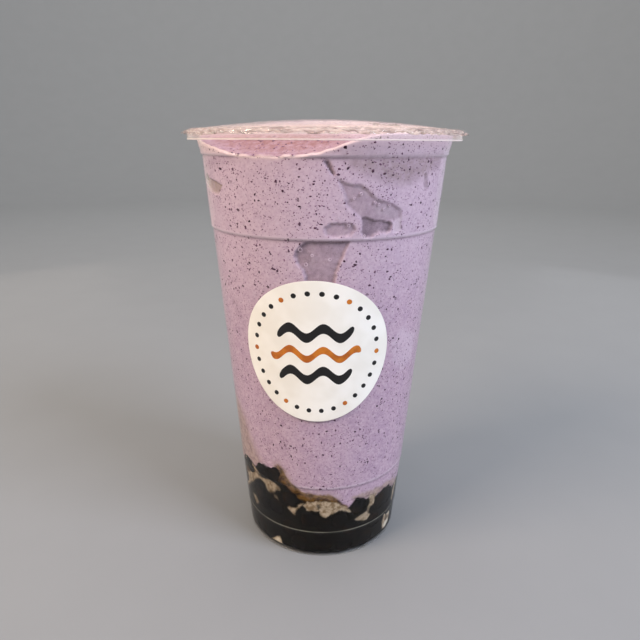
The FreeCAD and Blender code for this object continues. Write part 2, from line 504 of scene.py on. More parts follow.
def mix_shaders(tree: Tree, share: Socket, under: Socket, over: Socket) -> Socket:
    """Shows one shader in place of another by a share."""
    return add_node(tree, "ShaderNodeMixShader", None, {0: share, 1: under, 2: over}).outputs[0]


def let_light_through(tree: Tree, shader: Socket, tint: str) -> Socket:
    """Opens a clear shader to lamps and to bounced light, which pass it unbent.

    Args:
        tree: The node tree.
        shader: What the eye sees of it.
        tint: The colour that it gives to light that passes.

    Returns:
        The shader to use in its place.
    """
    rays = add_node(tree, "ShaderNodeLightPath")
    clear = add_node(tree, "ShaderNodeBsdfTransparent", None, {"Color": linear(tint)}).outputs[0]
    for kind in ("Is Diffuse Ray", "Is Shadow Ray"):
        shader = mix_shaders(tree, rays.outputs[kind], shader, clear)
    return shader


def finish_material(tree: Tree, shader: Socket) -> None:
    """Joins the last shader to the material's surface."""
    add_node(tree, "ShaderNodeOutputMaterial", None, {"Surface": shader})


@dataclass(frozen=True)
class ClearMoulding:
    """Clear polypropylene: a soft clear gloss, made milky white where the rim has a painted highlight.
    """

    name: str = "clear_polypropylene"
    tint: str = "#FBFAF9"
    roughness: float = 0.04
    ior: float = 1.25
    highlight_white: str = "#F2E2DC"
    highlight_roughness: float = 0.3
    highlight_ior: float = 1.4
    wave_mm: float = 30.0
    wave_height_mm: float = 0.02

    def material(self) -> Material:
        """Builds the material: glass to the eye, open to lamps and to bounced light."""
        material, tree = blank_material(self.name)
        waves = noise(tree, object_scale(tree), self.wave_mm, 1.0)
        normal = bump(tree, waves, self.wave_height_mm, 1.0)
        glassy = {"IOR": self.ior, "Transmission Weight": 1.0, "Normal": normal}
        clear = surface(tree, linear(self.tint), self.roughness, glassy)
        # Painted highlight: a milky white shader, mixed in where the rim's stored share says so.
        highlight_white = surface(tree, linear(self.highlight_white), self.highlight_roughness, {"IOR": self.highlight_ior})
        shader = mix_shaders(tree, stored(tree, "rim_highlight"), clear, highlight_white)
        finish_material(tree, let_light_through(tree, shader, self.tint))
        return material


@dataclass(frozen=True)
class ClearFilm:
    """Clear sealing film: hardly there but for its glints, and denser in its creases.

    Each pair is of a smooth stretch and of a fold. Where a fold's tint is dark, it is painted shade.
    """

    name: str = "clear_sealing_film"
    tints: tuple[str, str] = ("#FFEBE0", "#FFE0D0")
    clearness: Pair = (0.7, 0.35)
    alpha: Pair = (0.36, 0.72)
    roughness: float = 0.1
    ior: float = 1.49
    passing: str = "#FFFCFA"

    def material(self) -> Material:
        """Builds the material: a share of clear plastic, and nothing in the way of the rest."""
        material, tree = blank_material(self.name)
        crease = stored(tree, "crease")
        smooth, folded = (linear(tint) for tint in self.tints)
        more = {
            "IOR": self.ior,
            "Transmission Weight": spread(tree, crease, (0.0, 1.0), self.clearness),
            "Alpha": spread(tree, crease, (0.0, 1.0), self.alpha),
        }
        shader = surface(tree, blend(tree, crease, smooth, folded), self.roughness, more)
        finish_material(tree, let_light_through(tree, shader, self.passing))
        return material


@dataclass(frozen=True)
class BlendedUbe:
    """Ube blended with milk and ice: a dull lilac pulp, full of fine dark skin and pale froth.

    A texture's millimetres are about how wide its clouds are. A span of three says where in them
    a colour starts, where it is full and how much of it shows there.
    """

    name: str = "blended_ube"
    pulp: str = "#BDA3B3"
    shade: str = "#AC92A7"
    deep: str = "#997B94"
    fine_fleck: str = "#745470"
    # Pale tone for the grain, and painted light: above each ring, on the flare, in the pockets and
    # towards the top.
    pale_and_lit: str = "#D0BECB"
    # Painted shade, cool and warm: air pockets, the wall under each ring and the upper wall under the
    # neck ring.
    air_shade: str = "#7C6A76"
    warm_air_shade: str = "#A08C80"
    froth: str = "#EAD4D4"
    # Painted shade: the smoothie's top down in the hollow, which lies in shade.
    hollow: str = "#8B6463"
    cream: str = "#B9A78F"
    cream_depth: str = "#7F6A4F"
    amber: str = "#6A4B20"
    amber_depth: str = "#2C1C0B"
    # Milk, and a painted highlight on the pale blob at the right of the foot.
    milk_and_glint: str = "#DCD6C4"
    dark: str = "#0E0C09"
    mottle_mm: float = 5.0
    mottled: Triple = (0.38, 0.7, 0.6)
    grain_mm: float = 0.9
    dark_grain: Triple = (0.5, 0.68, 0.5)
    pale_grain: Triple = (0.48, 0.3, 0.35)
    fine_mm: float = 0.8
    fine_size: float = 0.3
    fine_missing: float = 0.45
    fine_edge: Triple = (0.0, 0.12, 0.7)
    cloud_mm: float = 2.0
    cloudy: Pair = (0.32, 0.66)
    cloud_share: Pair = (0.5, 1.1)
    deepening: Pair = (0.38, 0.66)
    clouded: tuple[str, ...] = ("air_shade", "warm_air_shade", "hollow")
    skin_mm: float = 1.2
    skin_height_mm: float = 0.03
    roughness: float = 0.5
    ior: float = 1.12

    def fine_flecks(self, tree: Tree, place: Socket) -> Socket:
        """The share of the finest flecks: round dots of random size, some of them left out."""
        inputs = {"Vector": place, "Scale": 1 / self.fine_mm, "Randomness": 1.0}
        cells = add_node(tree, "ShaderNodeTexVoronoi", {"feature": "F1"}, inputs)
        chance = add_node(tree, "ShaderNodeSeparateColor", None, {0: cells.outputs["Color"]})
        size = spread(tree, chance.outputs[0], (self.fine_missing, 1.0), (0.0, self.fine_size))
        dot = calculate(tree, "SUBTRACT", size, cells.outputs["Distance"])
        return ramp(tree, dot, *self.fine_edge)

    def material(self) -> Material:
        """Builds the material from the pulp outwards, one colour for each stored share."""
        material, tree = blank_material(self.name)
        place = object_scale(tree)
        mottle = noise(tree, place, self.mottle_mm, 4.0, 0.65)
        mottled = ramp(tree, mottle, *self.mottled)
        colour = blend(tree, mottled, linear(self.pulp), linear(self.shade))
        grain = noise(tree, place, self.grain_mm, 2.0, 0.6)
        colour = blend(tree, ramp(tree, grain, *self.dark_grain), colour, linear(self.deep))
        colour = blend(tree, ramp(tree, grain, *self.pale_grain), colour, linear(self.pale_and_lit))
        colour = blend(tree, self.fine_flecks(tree, place), colour, linear(self.fine_fleck))
        cloud = noise(tree, place, self.cloud_mm, 3.0, 0.6)
        thin = spread(tree, cloud, self.cloudy, self.cloud_share)
        depth = ramp(tree, cloud, *self.deepening)
        # Over the pulp: the pale layer is partly painted light, the air layers and the hollow painted
        # shade, the milk layer partly a painted highlight.
        layers = (
            ("pale_and_lit", linear(self.pale_and_lit)),
            ("air_shade", linear(self.air_shade)),
            ("warm_air_shade", linear(self.warm_air_shade)),
            ("froth", linear(self.froth)),
            ("hollow", linear(self.hollow)),
            ("dark", linear(self.dark)),
            ("amber", blend(tree, depth, linear(self.amber), linear(self.amber_depth))),
            ("cream", blend(tree, depth, linear(self.cream), linear(self.cream_depth))),
            ("milk_and_glint", linear(self.milk_and_glint)),
        )
        for name, over in layers:
            share = stored(tree, name)
            if name in self.clouded:
                share = calculate(tree, "MULTIPLY", share, thin)
            colour = blend(tree, share, colour, over)
        skin = noise(tree, place, self.skin_mm, 3.0)
        more = {"IOR": self.ior, "Normal": bump(tree, skin, self.skin_height_mm, 0.6)}
        finish_material(tree, surface(tree, colour, self.roughness, more))
        return material


@dataclass(frozen=True)
class UbeSkin:
    """Flecks of ube skin in the blend: near-black purple, dulled where pulp covers them."""

    name: str = "ube_skin"
    bare: str = "#321A2A"
    sunk: str = "#93708A"
    roughness: float = 0.5
    ior: float = 1.12

    def material(self) -> Material:
        """Builds the material: each fleck's own share says how deep it is sunk."""
        material, tree = blank_material(self.name)
        colour = blend(tree, stored(tree, "sunk"), linear(self.bare), linear(self.sunk))
        finish_material(tree, surface(tree, colour, self.roughness, {"IOR": self.ior}))
        return material


@dataclass(frozen=True)
class PatchySolid:
    """An opaque solid of one colour that is deeper in soft patches, with or without a tooth."""

    name: str
    colour: str
    deep: str
    patch_mm: float
    roughness: float
    deepening: tuple[float, ...] = (0.4, 0.65)
    ior: float | None = None
    tooth_mm: float | None = None
    tooth_height_mm: float = 0.03

    def material(self) -> Material:
        """Builds the material from the two colours and the tooth."""
        material, tree = blank_material(self.name)
        place = object_scale(tree)
        share = ramp(tree, noise(tree, place, self.patch_mm), *self.deepening)
        colour = blend(tree, share, linear(self.colour), linear(self.deep))
        more = {} if self.ior is None else {"IOR": self.ior}
        if self.tooth_mm is not None:
            tooth = noise(tree, place, self.tooth_mm)
            more["Normal"] = bump(tree, tooth, self.tooth_height_mm, 0.5)
        finish_material(tree, surface(tree, colour, self.roughness, more))
        return material


DOME_FILM = ClearFilm()
# The hem's folds: denser film, with a dark tint that is painted shade.
CRIMPED_FILM = ClearFilm(
    "crimped_sealing_film", ("#FFEADC", "#8C7672"), (0.8, 0.35), (0.6, 0.86), 0.04
)
MILK_FROTH = PatchySolid("milk_froth", "#C6B2C0", "#B19BAB", 1.5, 0.5, tooth_mm=1.5)
BROWN_SUGAR = PatchySolid("brown_sugar", "#6A4410", "#160C04", 0.8, 0.3, tooth_mm=0.8)
# Painted highlight: a pale line in the step of the foot ring.
FOOT_RING_GLINT = PatchySolid("foot_ring_glint_paint", "#8F8C7C", "#5C5A4E", 9.0, 0.3, tooth_mm=9.0)
COOKED_TAPIOCA = PatchySolid("cooked_tapioca", "#0E0C0B", "#1C130C", 6.0, 0.18, (0.45, 0.7), 1.15)
STICKER_PAPER = PatchySolid(
    "sticker_paper", "#F5F0E7", "#EEE8DD", 9.0, 0.42, (0.35, 0.65), tooth_mm=0.35, tooth_height_mm=0.01
)
PAINTED_BOARD = PatchySolid("studio_floor", "#838383", "#7F7F7F", 40.0, 0.6, (0.3, 0.7, 0.3))


# ------------------------------
# The cup
# ------------------------------


@dataclass
class Cup:
    """The moulded cup: a stepped taper with a recessed floor and a rolled rim."""

    height: float
    rim_radius: float
    base_radius: float = 30.35
    wall: float = 0.6
    rim_reach: float = 3.2
    rim_depth: float = 3.3
    rim_corner: float = 1.3
    floor: float = 0.7
    recess: float = 1.2
    heel: float = 1.1
    foot_land: float = 0.9
    recess_corner: float = 0.5
    floor_corner: float = 1.5
    gate_radius: float = 2.5
    gate_depth: float = 0.25
    foot_ring: Pair = (11.4, 0.15)
    fill_ring: Pair = (32.0, 0.2)
    stack_drop: float = 32.1
    stack_step: float = 0.45
    neck_drop: float = 7.8
    neck_step: float = 0.5
    ledge: float = 0.8
    flare: float = 0.55
    flare_height: float = 4.0
    edge: float = 0.1
    columns: int = 256
    wall_spacing: float = 3.0
    ledge_rows: int = 17
    bead: float = 0.07
    bead_width: float = 0.25
    lip: float = 0.55
    # Painted highlight on the rim: how milky its lower edge and the rolled rim are made.
    lip_highlight: float = 0.75
    roll_highlight: float = 0.14

    @classmethod
    def from_frame(cls) -> "Cup":
        """Takes the height and the rim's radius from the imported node."""
        low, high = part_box("cup")
        return cls(height=(high.z - low.z) / MM, rim_radius=(high.x - low.x) / 2 / MM)

    @property
    def mouth_height(self) -> float:
        """Height of the rim's lower edge."""
        return self.height - self.rim_depth

    @property
    def mouth_radius(self) -> float:
        """Radius of the wall's outside at the rim."""
        return self.rim_radius - self.rim_reach

    @property
    def bore_radius(self) -> float:
        """Radius of the opening."""
        return self.mouth_radius - self.wall

    @property
    def floor_height(self) -> float:
        """Height of the floor's upper face."""
        return self.recess + self.floor

    @property
    def stack_ring(self) -> float:
        """Height of the stacking ring."""
        return self.height - self.stack_drop

    @property
    def land(self) -> Pair:
        """Inner and outer radius of the rim's flat top."""
        return (self.bore_radius + self.rim_corner, self.rim_radius - self.rim_corner)

    def steps(self) -> list[Triple]:
        """Each step of the wall as (lower height, upper height, how far it moves out)."""
        rings = [
            self.foot_ring,
            self.fill_ring,
            (self.stack_ring, self.stack_step),
            (self.height - self.neck_drop, self.neck_step),
        ]
        found = [(at - self.ledge / 2, at + self.ledge / 2, step) for at, step in rings]
        return found + [(self.mouth_height - self.flare_height, self.mouth_height, self.flare)]

    def outside(self, height: Array) -> Array:
        """Radius of the wall's outside: a steady taper plus each eased step below the height."""
        steps = self.steps()
        rise = self.mouth_radius - self.base_radius - sum(step for _, _, step in steps)
        radius = self.base_radius + rise / self.mouth_height * height
        for low, high, step in steps:
            radius = radius + step * ease(height, low, high)
        return radius

    def beads(self, height: Array) -> Array:
        """How far the small bead above each ring stands out: a bell over its height."""
        rings = [head for _, head, _ in self.steps()[:-1]]
        return sum(self.bead * np.exp(-(((height - at) / self.bead_width) ** 2)) for at in rings)

    def inside(self, height: Array) -> Array:
        """Radius of the wall's inside, straight up from the mouth."""
        return self.outside(np.minimum(height, self.mouth_height)) - self.wall

    def wall_heights(self, low: float, high: float) -> Array:
        """Heights for rows up the wall: close together over each step, wider between."""
        heights = [np.arange(low, high, self.wall_spacing), [low, high]]
        for foot, head, _ in self.steps():
            heights.append(np.linspace(foot - 0.1, head + 0.7, self.ledge_rows + 2))
        found = np.unique(np.concatenate(heights).round(3))
        found = found[(found >= low) & (found <= high)]
        keep = np.concatenate([[True], np.diff(found) > 0.04])
        return found[keep]

    def dome_rise(self, crown: float, radius: Array) -> Array:
        """How far a round cap over the opening stands above the rim.

        Args:
            crown: How far it does so on the axis.
            radius: Distances from the axis.

        Returns:
            The rise at each distance, 0 from the rim's flat top outwards.
        """
        inner = self.land[0]
        ball = (inner**2 + crown**2) / (2 * crown)
        return np.sqrt(ball**2 - np.minimum(radius, inner) ** 2) - (ball - crown)

    def profile(self) -> Array:
        """The closed section from the axis under the floor, round the rim, to the axis above it.

        Returns:
            Points as (distance from the axis, height), without the two on the axis.
        """
        heel_out = float(self.outside(np.array(self.heel)))
        land = heel_out - self.heel
        land_in = land - self.foot_land
        gate = self.recess + self.gate_depth
        foot = rounded_path(
            [
                (0.0, gate, 0.0),
                (self.gate_radius, gate, self.edge),
                (self.gate_radius + self.gate_depth, self.recess, self.edge),
                (land_in, self.recess, self.recess_corner),
                (land_in, 0.0, self.edge),
                (heel_out - 0.04, 0.0, self.heel - 0.02),
                (heel_out, self.heel + 0.4, 0.0),
            ]
        )[1:-1]
        heights = self.wall_heights(self.heel + 0.4, self.mouth_height - 0.3)
        outer = np.stack([self.outside(heights) + self.beads(heights), heights], -1)
        top = self.height
        skirt = self.rim_radius - self.wall
        groove = (self.rim_reach - self.wall) / 2 - 0.01
        rim = rounded_path(
            [
                (self.mouth_radius, self.mouth_height, 0.0),
                (self.mouth_radius, top - self.wall, groove),
                (skirt, top - self.wall, groove),
                (skirt, self.mouth_height + self.lip, 0.0),
                (skirt, self.mouth_height, self.edge),
                (self.rim_radius, self.mouth_height, self.edge * 2),
                (self.rim_radius, self.mouth_height + self.lip, 0.0),
                (self.rim_radius, top, self.rim_corner),
                (self.bore_radius, top, self.rim_corner),
                (self.bore_radius, self.mouth_height, 0.0),
            ],
            8,
        )
        start = self.floor_height + self.floor_corner
        inner_heights = self.wall_heights(start, self.mouth_height - 0.3)[::-1]
        inner = np.stack([self.inside(inner_heights), inner_heights], -1)
        bottom = float(self.inside(np.array(start)))
        floor = rounded_path(
            [
                (bottom, start, 0.0),
                (bottom, self.floor_height, self.floor_corner - 0.05),
                (0.0, self.floor_height, 0.0),
            ]
        )[1:-1]
        spokes = np.array([[bottom * share, self.floor_height] for share in (0.7, 0.3)])
        return np.concatenate([foot, outer, rim, inner, floor, spokes])

    def rim_highlight(self, radius: Array, height: Array) -> Array:
        """Painted highlight as a share of milky plastic: a little over the rolled rim, most along its
        lower edge.
        """
        rolled = (radius > self.mouth_radius + self.wall) * 1.0
        lower = 1.0 - ease(height, self.mouth_height + 0.3, self.mouth_height + self.lip)
        return rolled * (self.roll_highlight + (self.lip_highlight - self.roll_highlight) * lower)

    def build(self, finish: Material) -> None:
        """Turns the section about the axis and seats the cup.

        Args:
            finish: The clear plastic.
        """
        section = self.profile()
        azimuth = np.arange(self.columns)[None, :] * 360 / self.columns
        rings = on_cup(azimuth, section[:, :1], section[:, 1:])
        gate = (0.0, 0.0, self.recess + self.gate_depth)
        cup = ring_piece("cup_shell", gate, rings, (0.0, 0.0, self.floor_height))
        # Stores the rim's painted highlight.
        rim_highlight = self.rim_highlight(section[:, :1], section[:, 1:]) + 0.0 * azimuth
        set_share(cup, "rim_highlight", np.concatenate([[0.0], rim_highlight.ravel(), [0.0]]))
        seat(cup, finish, "cup")


# ------------------------------
# What is in the cup
# ------------------------------


@dataclass(frozen=True)
class Patch:
    """A marking against the wall, as an outline of (azimuth, height)."""

    share: str
    outline: Outline
    strength: float = 1.0
    soft: float = 0.7
    depth: float = 0.0
    # Painted shade: how much darker a band just inside the outline is.
    rim: float = 0.0
    curl: float = 0.0


def air_shade(outline: Outline, strength: float, depth: float, rim: float = 0.0, **more: Any) -> Patch:
    """An air pocket: a hollow of some depth, with painted shade by its strength and more painted shade
    round its rim.
    """
    return Patch("air_shade", outline, strength, depth=depth, rim=rim, **more)


# Air pockets against the wall, their darkness painted shade, with more painted shade under the neck
# ring and painted light on the flare above it and at the pockets' pale edges.
AIR_POCKETS = (
    air_shade((
        (0, 148), (1.3, 147.9), (2.3, 146.8), (3.4, 144.9), (4.8, 143), (3, 144.1), (1.4, 145.7),
        (0.2, 147),
    ), 0.95, 0.8, soft=0.4),
    air_shade((
        (5.3, 142.8), (8, 141.6), (11, 141), (15, 140.9), (17.5, 139.8), (20, 138), (22.5, 136.6),
        (27, 135.7), (31, 134.7), (35, 133.2), (35.6, 130.4), (30, 129.9), (17, 130.3), (14.5, 131.9),
        (11.5, 133.6), (9.2, 135.2), (8.6, 137.5), (7.2, 140),
    ), 0.45, 0.5, 0.1, soft=1.2),
    air_shade((
        (16, 131.2), (18.5, 131.4), (22, 130.4), (26, 130.2), (29.6, 129.9), (31, 128.6), (30.3, 127.2),
        (28, 126.4), (25.5, 126.7), (23, 126.2), (20.5, 125.3), (17.6, 125.5), (16.1, 127), (16.5, 129),
    ), 0.84, 1, 0.2, soft=0.8),
    air_shade((
        (0.2, 128.4), (3, 129.6), (8, 129.9), (12.6, 129.3), (13.6, 127.6), (11, 126), (5, 125.6),
        (1, 126.2),
    ), 0.3, 0.5, 0.25, soft=1.2),
    air_shade((
        (-11.8, 121.5), (-9.8, 123), (-7.2, 124.1), (0, 124.2), (6, 124.2), (11, 124.2), (9.4, 121),
        (7.6, 118), (6, 115), (5.2, 112.4), (4.8, 109.5), (-8.5, 109.5), (-8.2, 113), (-9.5, 115.2),
        (-12.2, 117.2), (-13.1, 119.4),
    ), 0.52, 0.8, 0.25, soft=0.9),
    air_shade((
        (-11.9, 119.5), (-10.8, 122), (-8.2, 122.7), (-5.6, 121.4), (-5.4, 118.4), (-7.8, 116.5),
        (-10.8, 117.1),
    ), 0.18, 0.5, 0.3, soft=0.6),
    air_shade(((47.4, 143.8), (49.6, 143.4), (51.6, 139.2), (50, 138.4), (48.2, 139.8)), 0.3, 0.5, 0.2),
    air_shade(((-52, 102.5), (-49, 101), (-49, 96.5), (-52.5, 97)), 0.25, 0, soft=4),
    air_shade((
        (8, 149.2), (62, 149.2), (60, 146), (46, 143.4), (38, 140.8), (28, 141.5), (18, 143.8),
        (10, 146.2),
    ), 0.55, 0, soft=4.5),
    Patch("warm_air_shade", (
        (8, 149.2), (62, 149.2), (60, 146), (46, 142.4), (34, 140.8), (24, 142.5), (12, 145.6),
    ), 0.3, 4.5),
    air_shade((
        (-70, 150), (-50, 149.6), (-44, 148.2), (-36, 147.4), (-52, 145), (-68, 144),
    ), 0.22, 0, soft=3),
    Patch("warm_air_shade", (
        (-73, 140.5), (-67, 142.9), (-64, 141.2), (-57, 140.7), (-50.5, 139.7), (-55.5, 136.5),
        (-62, 136.9), (-69, 138.2),
    ), 0.7, depth=0.7, rim=0.1),
    Patch("pale_and_lit", (
        (31.4, 130), (35.6, 131), (36, 127), (34, 125.8), (31.5, 126.5),
    ), 0.6, 0.8, depth=0.3),
    Patch("pale_and_lit", ((4, 149.5), (84, 149.5), (86, 157.5), (16, 157.5), (10, 152.5)), 0.4, 1),
    Patch("pale_and_lit", ((38, 88), (46, 92.5), (62, 87), (61, 77.5), (50, 75.5), (42, 80)), 0.4, 3),
    Patch("pale_and_lit", (
        (-6.2, 123.6), (-5.2, 121.6), (-5, 119), (-6.4, 116.2), (-5.8, 115.9), (-4.2, 118.8),
        (-4.4, 121.8), (-5.4, 123.8),
    ), 0.5, 0.6),
    Patch("pale_and_lit", (
        (12, 139.8), (15.5, 139.2), (18, 137.4), (19, 137.9), (16, 140.2), (12.5, 140.6),
    ), 0.4, 0.9),
    Patch("pale_and_lit", (
        (21.5, 134.6), (27, 134.9), (33.5, 132.6), (33, 131), (27, 131.6), (22, 132.4),
    ), 0.45, 1.2),
)

KNOWN_BUBBLES = (
    (21.4, 135.9, 0.42), (23.4, 135.2, 0.36), (25.9, 133.7, 0.4), (28.5, 134.8, 0.45),
    (9.1, 133.4, 0.5), (39.1, 133.2, 0.42), (15.1, 138.4, 0.45), (12.3, 137.2, 0.4),
    (-7.9, 117, 0.6), (-13.4, 126.8, 0.4), (6.1, 131.2, 0.35), (10.4, 129.1, 0.5),
    (34.1, 125.8, 0.4), (17.6, 125.9, 0.35), (28.8, 125.3, 0.35), (-10.3, 121.6, 0.7),
    (-5.1, 119.9, 0.45), (2.8, 118.7, 0.5), (35.5, 136.5, 0.35), (6.4, 135.9, 0.35),
)

BED_PATCHES = (
    Patch("dark", (
        (-190, -5), (190, -5), (190, 27), (160, 31), (140, 27), (120, 30.5), (105, 32), (92, 27),
        (80, 26.5), (70, 23.5), (60, 22), (55.5, 24.6), (50, 25.3), (45, 24.8), (41, 24.6), (38.5, 23),
        (35.5, 24.8), (31, 24.6), (27.5, 25.6), (23.5, 26.4), (20.5, 25), (18.5, 22.6), (16.5, 20.9),
        (13.5, 21.9), (9.5, 22), (6, 20.9), (2.5, 19.7), (-0.5, 21.3), (-1.6, 23.3), (-4, 22.4),
        (-7.5, 22.9), (-10.5, 22.6), (-13, 24), (-12.5, 26.5), (-14, 29), (-17.5, 30.4), (-20.5, 30.2),
        (-22.5, 31), (-25.5, 32.6), (-29, 34), (-31.5, 35.2), (-34, 36), (-37.5, 37.6), (-41, 37.6),
        (-45, 35.8), (-48.5, 34.9), (-51, 34.2), (-54, 35.5), (-60, 35.8), (-66, 35.2), (-72, 31.5),
        (-80, 29), (-95, 31.5), (-112, 32), (-130, 34), (-145, 31), (-165, 27), (-190, 27),
    ), 1, 1.1, curl=0.5),
    Patch("dark", (
        (-25, 31), (-19, 29.8), (-13, 28), (-8, 27.2), (0, 27.2), (6, 27), (10, 26), (12, 24.6),
        (16.5, 22.4), (18, 21), (10, 20), (2, 18), (-4, 20), (-13, 21), (-24, 27.5),
    ), 1, 0.9, curl=0.3),
    Patch("warm", (
        (33, 26.5), (38, 27.2), (50, 27.6), (60, 26.5), (66, 24), (62, 21), (52, 23.5), (40, 23.8),
        (34, 24),
    ), 0.75, 2.4, curl=0.4),
    Patch("warm", (
        (20, 26.6), (25.6, 28), (31.1, 28), (39.2, 27.6), (45, 26), (37.6, 24.4), (29.6, 24.4),
        (22.5, 24.4),
    ), 0.7, 2, curl=0.3),
    Patch("warm", (
        (-34, 41), (-28, 42), (-22.5, 38.5), (-17.5, 33.6), (-10, 31.2), (8, 30.6), (14, 27), (8, 27),
        (-8, 28), (-20, 31), (-30, 37),
    ), 0.3, 2.4, curl=0.3),
    Patch("warm", (
        (-86, 50), (-70, 60), (-57, 54), (-50, 44), (-43, 38), (-47, 33), (-60, 33), (-84, 28),
    ), 0.7, 8, curl=0.4),
    Patch("amber", (
        (-29.9, 35.5), (-25.2, 38.4), (-22.6, 35.3), (-17.7, 32.6), (-13.2, 30.4), (-7.1, 29.6),
        (-1.1, 29.5), (4.8, 29.4), (9.5, 28.1), (13.1, 26.1), (18.2, 22.7), (16.2, 22.1), (11.6, 24.6),
        (4.9, 26.2), (-1.1, 26.3), (-6.4, 26), (-11.1, 25.7), (-13.8, 27), (-19.6, 29.4), (-23.6, 31.2),
        (-27.5, 32.7), (-32, 33.1), (-37.9, 32.9), (-46.6, 31.5), (-45.2, 33.1), (-36.7, 34.3),
    ), 0.95, 1.2, curl=0.3),
    Patch("amber", (
        (-31.7, 39.1), (-29.2, 40.2), (-25.9, 39.7), (-24.4, 38.2), (-25.6, 35.3), (-28.3, 34.3),
        (-29.7, 36.6),
    ), 0.9, 1.8, curl=0.3),
    Patch("amber", (
        (-60, 31.2), (-50, 33.2), (-47.5, 32), (-52, 30.6), (-60, 28.6), (-70, 25), (-74, 26),
        (-66, 29.6),
    ), 0.55, 1, curl=0.4),
    Patch("cream", (
        (-46.5, 30.9), (-40, 31.2), (-34, 31), (-30.5, 30.2), (-29.5, 28.4), (-33, 27.4), (-37.5, 26),
        (-40, 26.8), (-41.5, 28.8), (-46.5, 29.7), (-50.5, 29.2), (-57, 25.9), (-64, 21.5), (-72, 18.5),
        (-76, 21.5), (-68, 26), (-58, 29.6), (-50, 31.4),
    ), 0.75, 1.4, curl=0.4),
    Patch("cream", (
        (-12.7, 24.3), (-9.5, 25.7), (-2.6, 26.4), (5, 26.3), (11.2, 25), (16.2, 23), (20.1, 20.2),
        (15.4, 21.5), (10.6, 21.5), (6.3, 20.6), (2.8, 18.9), (-1.1, 20.1), (-1.9, 22.4), (-5, 22.2),
        (-10.4, 22.1),
    ), 0.95, 0.9, curl=0.35),
    Patch("dark", ((-3.8, 24.6), (-1.6, 25.3), (-0.6, 23.2), (-2.4, 22.6)), 0.8, 0.8),
    Patch("cream", (
        (-23.8, 21.6), (-22, 22.4), (-20.5, 21.8), (-17.5, 22.3), (-14.6, 24.6), (-12.6, 25.2),
        (-14.2, 23.4), (-17.2, 21.4), (-19.3, 19.1), (-21.2, 20),
    ), 0.95, 0.8, curl=0.2),
    Patch("cream", (
        (34.4, 25), (37.2, 25.6), (40.2, 25.3), (39.2, 22.8), (39.6, 20.6), (37, 20), (33.8, 20.2),
        (35.2, 22.6),
    ), 0.85, 1, curl=0.25),
    Patch("cream", ((33.6, 20.4), (36, 20.2), (34.6, 17.4), (33.2, 17.6)), 0.45, 0.8),
    Patch("cream", (
        (23.8, 15.8), (28, 17.5), (32.6, 18), (36.2, 15.7), (34.4, 14.3), (29.6, 14.4),
    ), 0.85, 0.9, curl=0.2),
    Patch("cream", ((15.8, 22.4), (18.8, 21.7), (20.4, 20.2), (18.2, 20.6), (16.4, 21.4)), 1, 0.4),
    Patch("cream", ((-40.5, 2.2), (-36, 4.4), (-32, 5.6), (-30.8, 4.6), (-31, 2.1)), 1, 0.6, curl=0.2),
    Patch("milk_and_glint", ((-38, 2.4), (-35.2, 3.9), (-32.4, 4.9), (-31.8, 2.3)), 0.6, 0.8, curl=0.2),
    # Painted highlight on the pale blob at the right of the foot.
    Patch("milk_and_glint", ((56.4, 5.8), (61.6, 6.4), (62, 4.6), (58, 3.4), (55.2, 4.2)), 0.85, 0.9),
    Patch("milk_and_glint", ((56, 11.4), (60, 10.8), (62.6, 8.6), (61.8, 7.8), (58.4, 9.9)), 0.5, 0.7),
    Patch("cream", (
        (-66, 33.6), (-63, 34.9), (-56.8, 35.2), (-52.4, 34), (-48.5, 32.9), (-45.6, 32), (-46.2, 31.4),
        (-50.4, 32.2), (-54.4, 33.2), (-59.8, 33.9),
    ), 0.7, 0.6, curl=0.2),
    Patch("cream", ((-60, 18.5), (-55, 18.8), (-52, 16.8), (-56, 14.8)), 0.5, 1.6),
    Patch("cream", ((-34.5, 25.6), (-31.6, 25), (-31, 22.8), (-33, 23.2)), 0.32, 1.2),
    Patch("cream", ((-23.4, 12.6), (-22.4, 12.6), (-22.4, 11.6), (-23.4, 11.6)), 0.8, 0.7),
    # The pale blob and streak at the right of the foot: partly cream, partly painted highlight.
    Patch("cream", (
        (54.8, 12.2), (60.5, 11), (64, 8.4), (63, 4.6), (57.8, 3), (53.8, 3.6), (52.2, 7.8),
    ), 0.95, 0.9),
    Patch("dark", ((56, 9.8), (59, 9.4), (60.5, 7.4), (57.5, 6.4), (55.5, 7.4)), 0.6, 0.9),
    Patch("cream", ((62.5, 14), (65.5, 14), (69.5, 23.5), (66.5, 24.5), (63, 20)), 0.7, 0.9),
    Patch("cream", ((78, 20), (84, 23), (90, 20.5), (86, 17.5)), 0.9, 0.8, curl=0.3),
    Patch("cream", ((118, 12), (122, 16.5), (127, 13), (123, 10)), 0.9, 0.7, curl=0.3),
    Patch("cream", ((148, 24), (154, 28), (160, 29), (166, 25), (156, 22)), 0.9, 0.9, curl=0.4),
    Patch("cream", ((-120, 18), (-112, 22), (-106, 19), (-112, 15)), 0.85, 0.8, curl=0.3),
    Patch("cream", ((-168, 14), (-160, 17.5), (-154, 13.5), (-161, 11.5)), 0.9, 0.7, curl=0.3),
    Patch("cream", ((-148, 26), (-138, 30), (-132, 26.5), (-140, 23.5)), 0.8, 0.9, curl=0.4),
    Patch("amber", (
        (100, 31), (112, 31.8), (128, 29), (146, 27.4), (144, 25.6), (126, 26.8), (112, 29.6),
        (102, 29.2),
    ), 0.8, 1, curl=0.5),
    Patch("amber", (
        (-142, 33), (-126, 34.6), (-112, 32.4), (-104, 31), (-106, 29.4), (-118, 30), (-132, 31.6),
    ), 0.8, 1, curl=0.5),
)


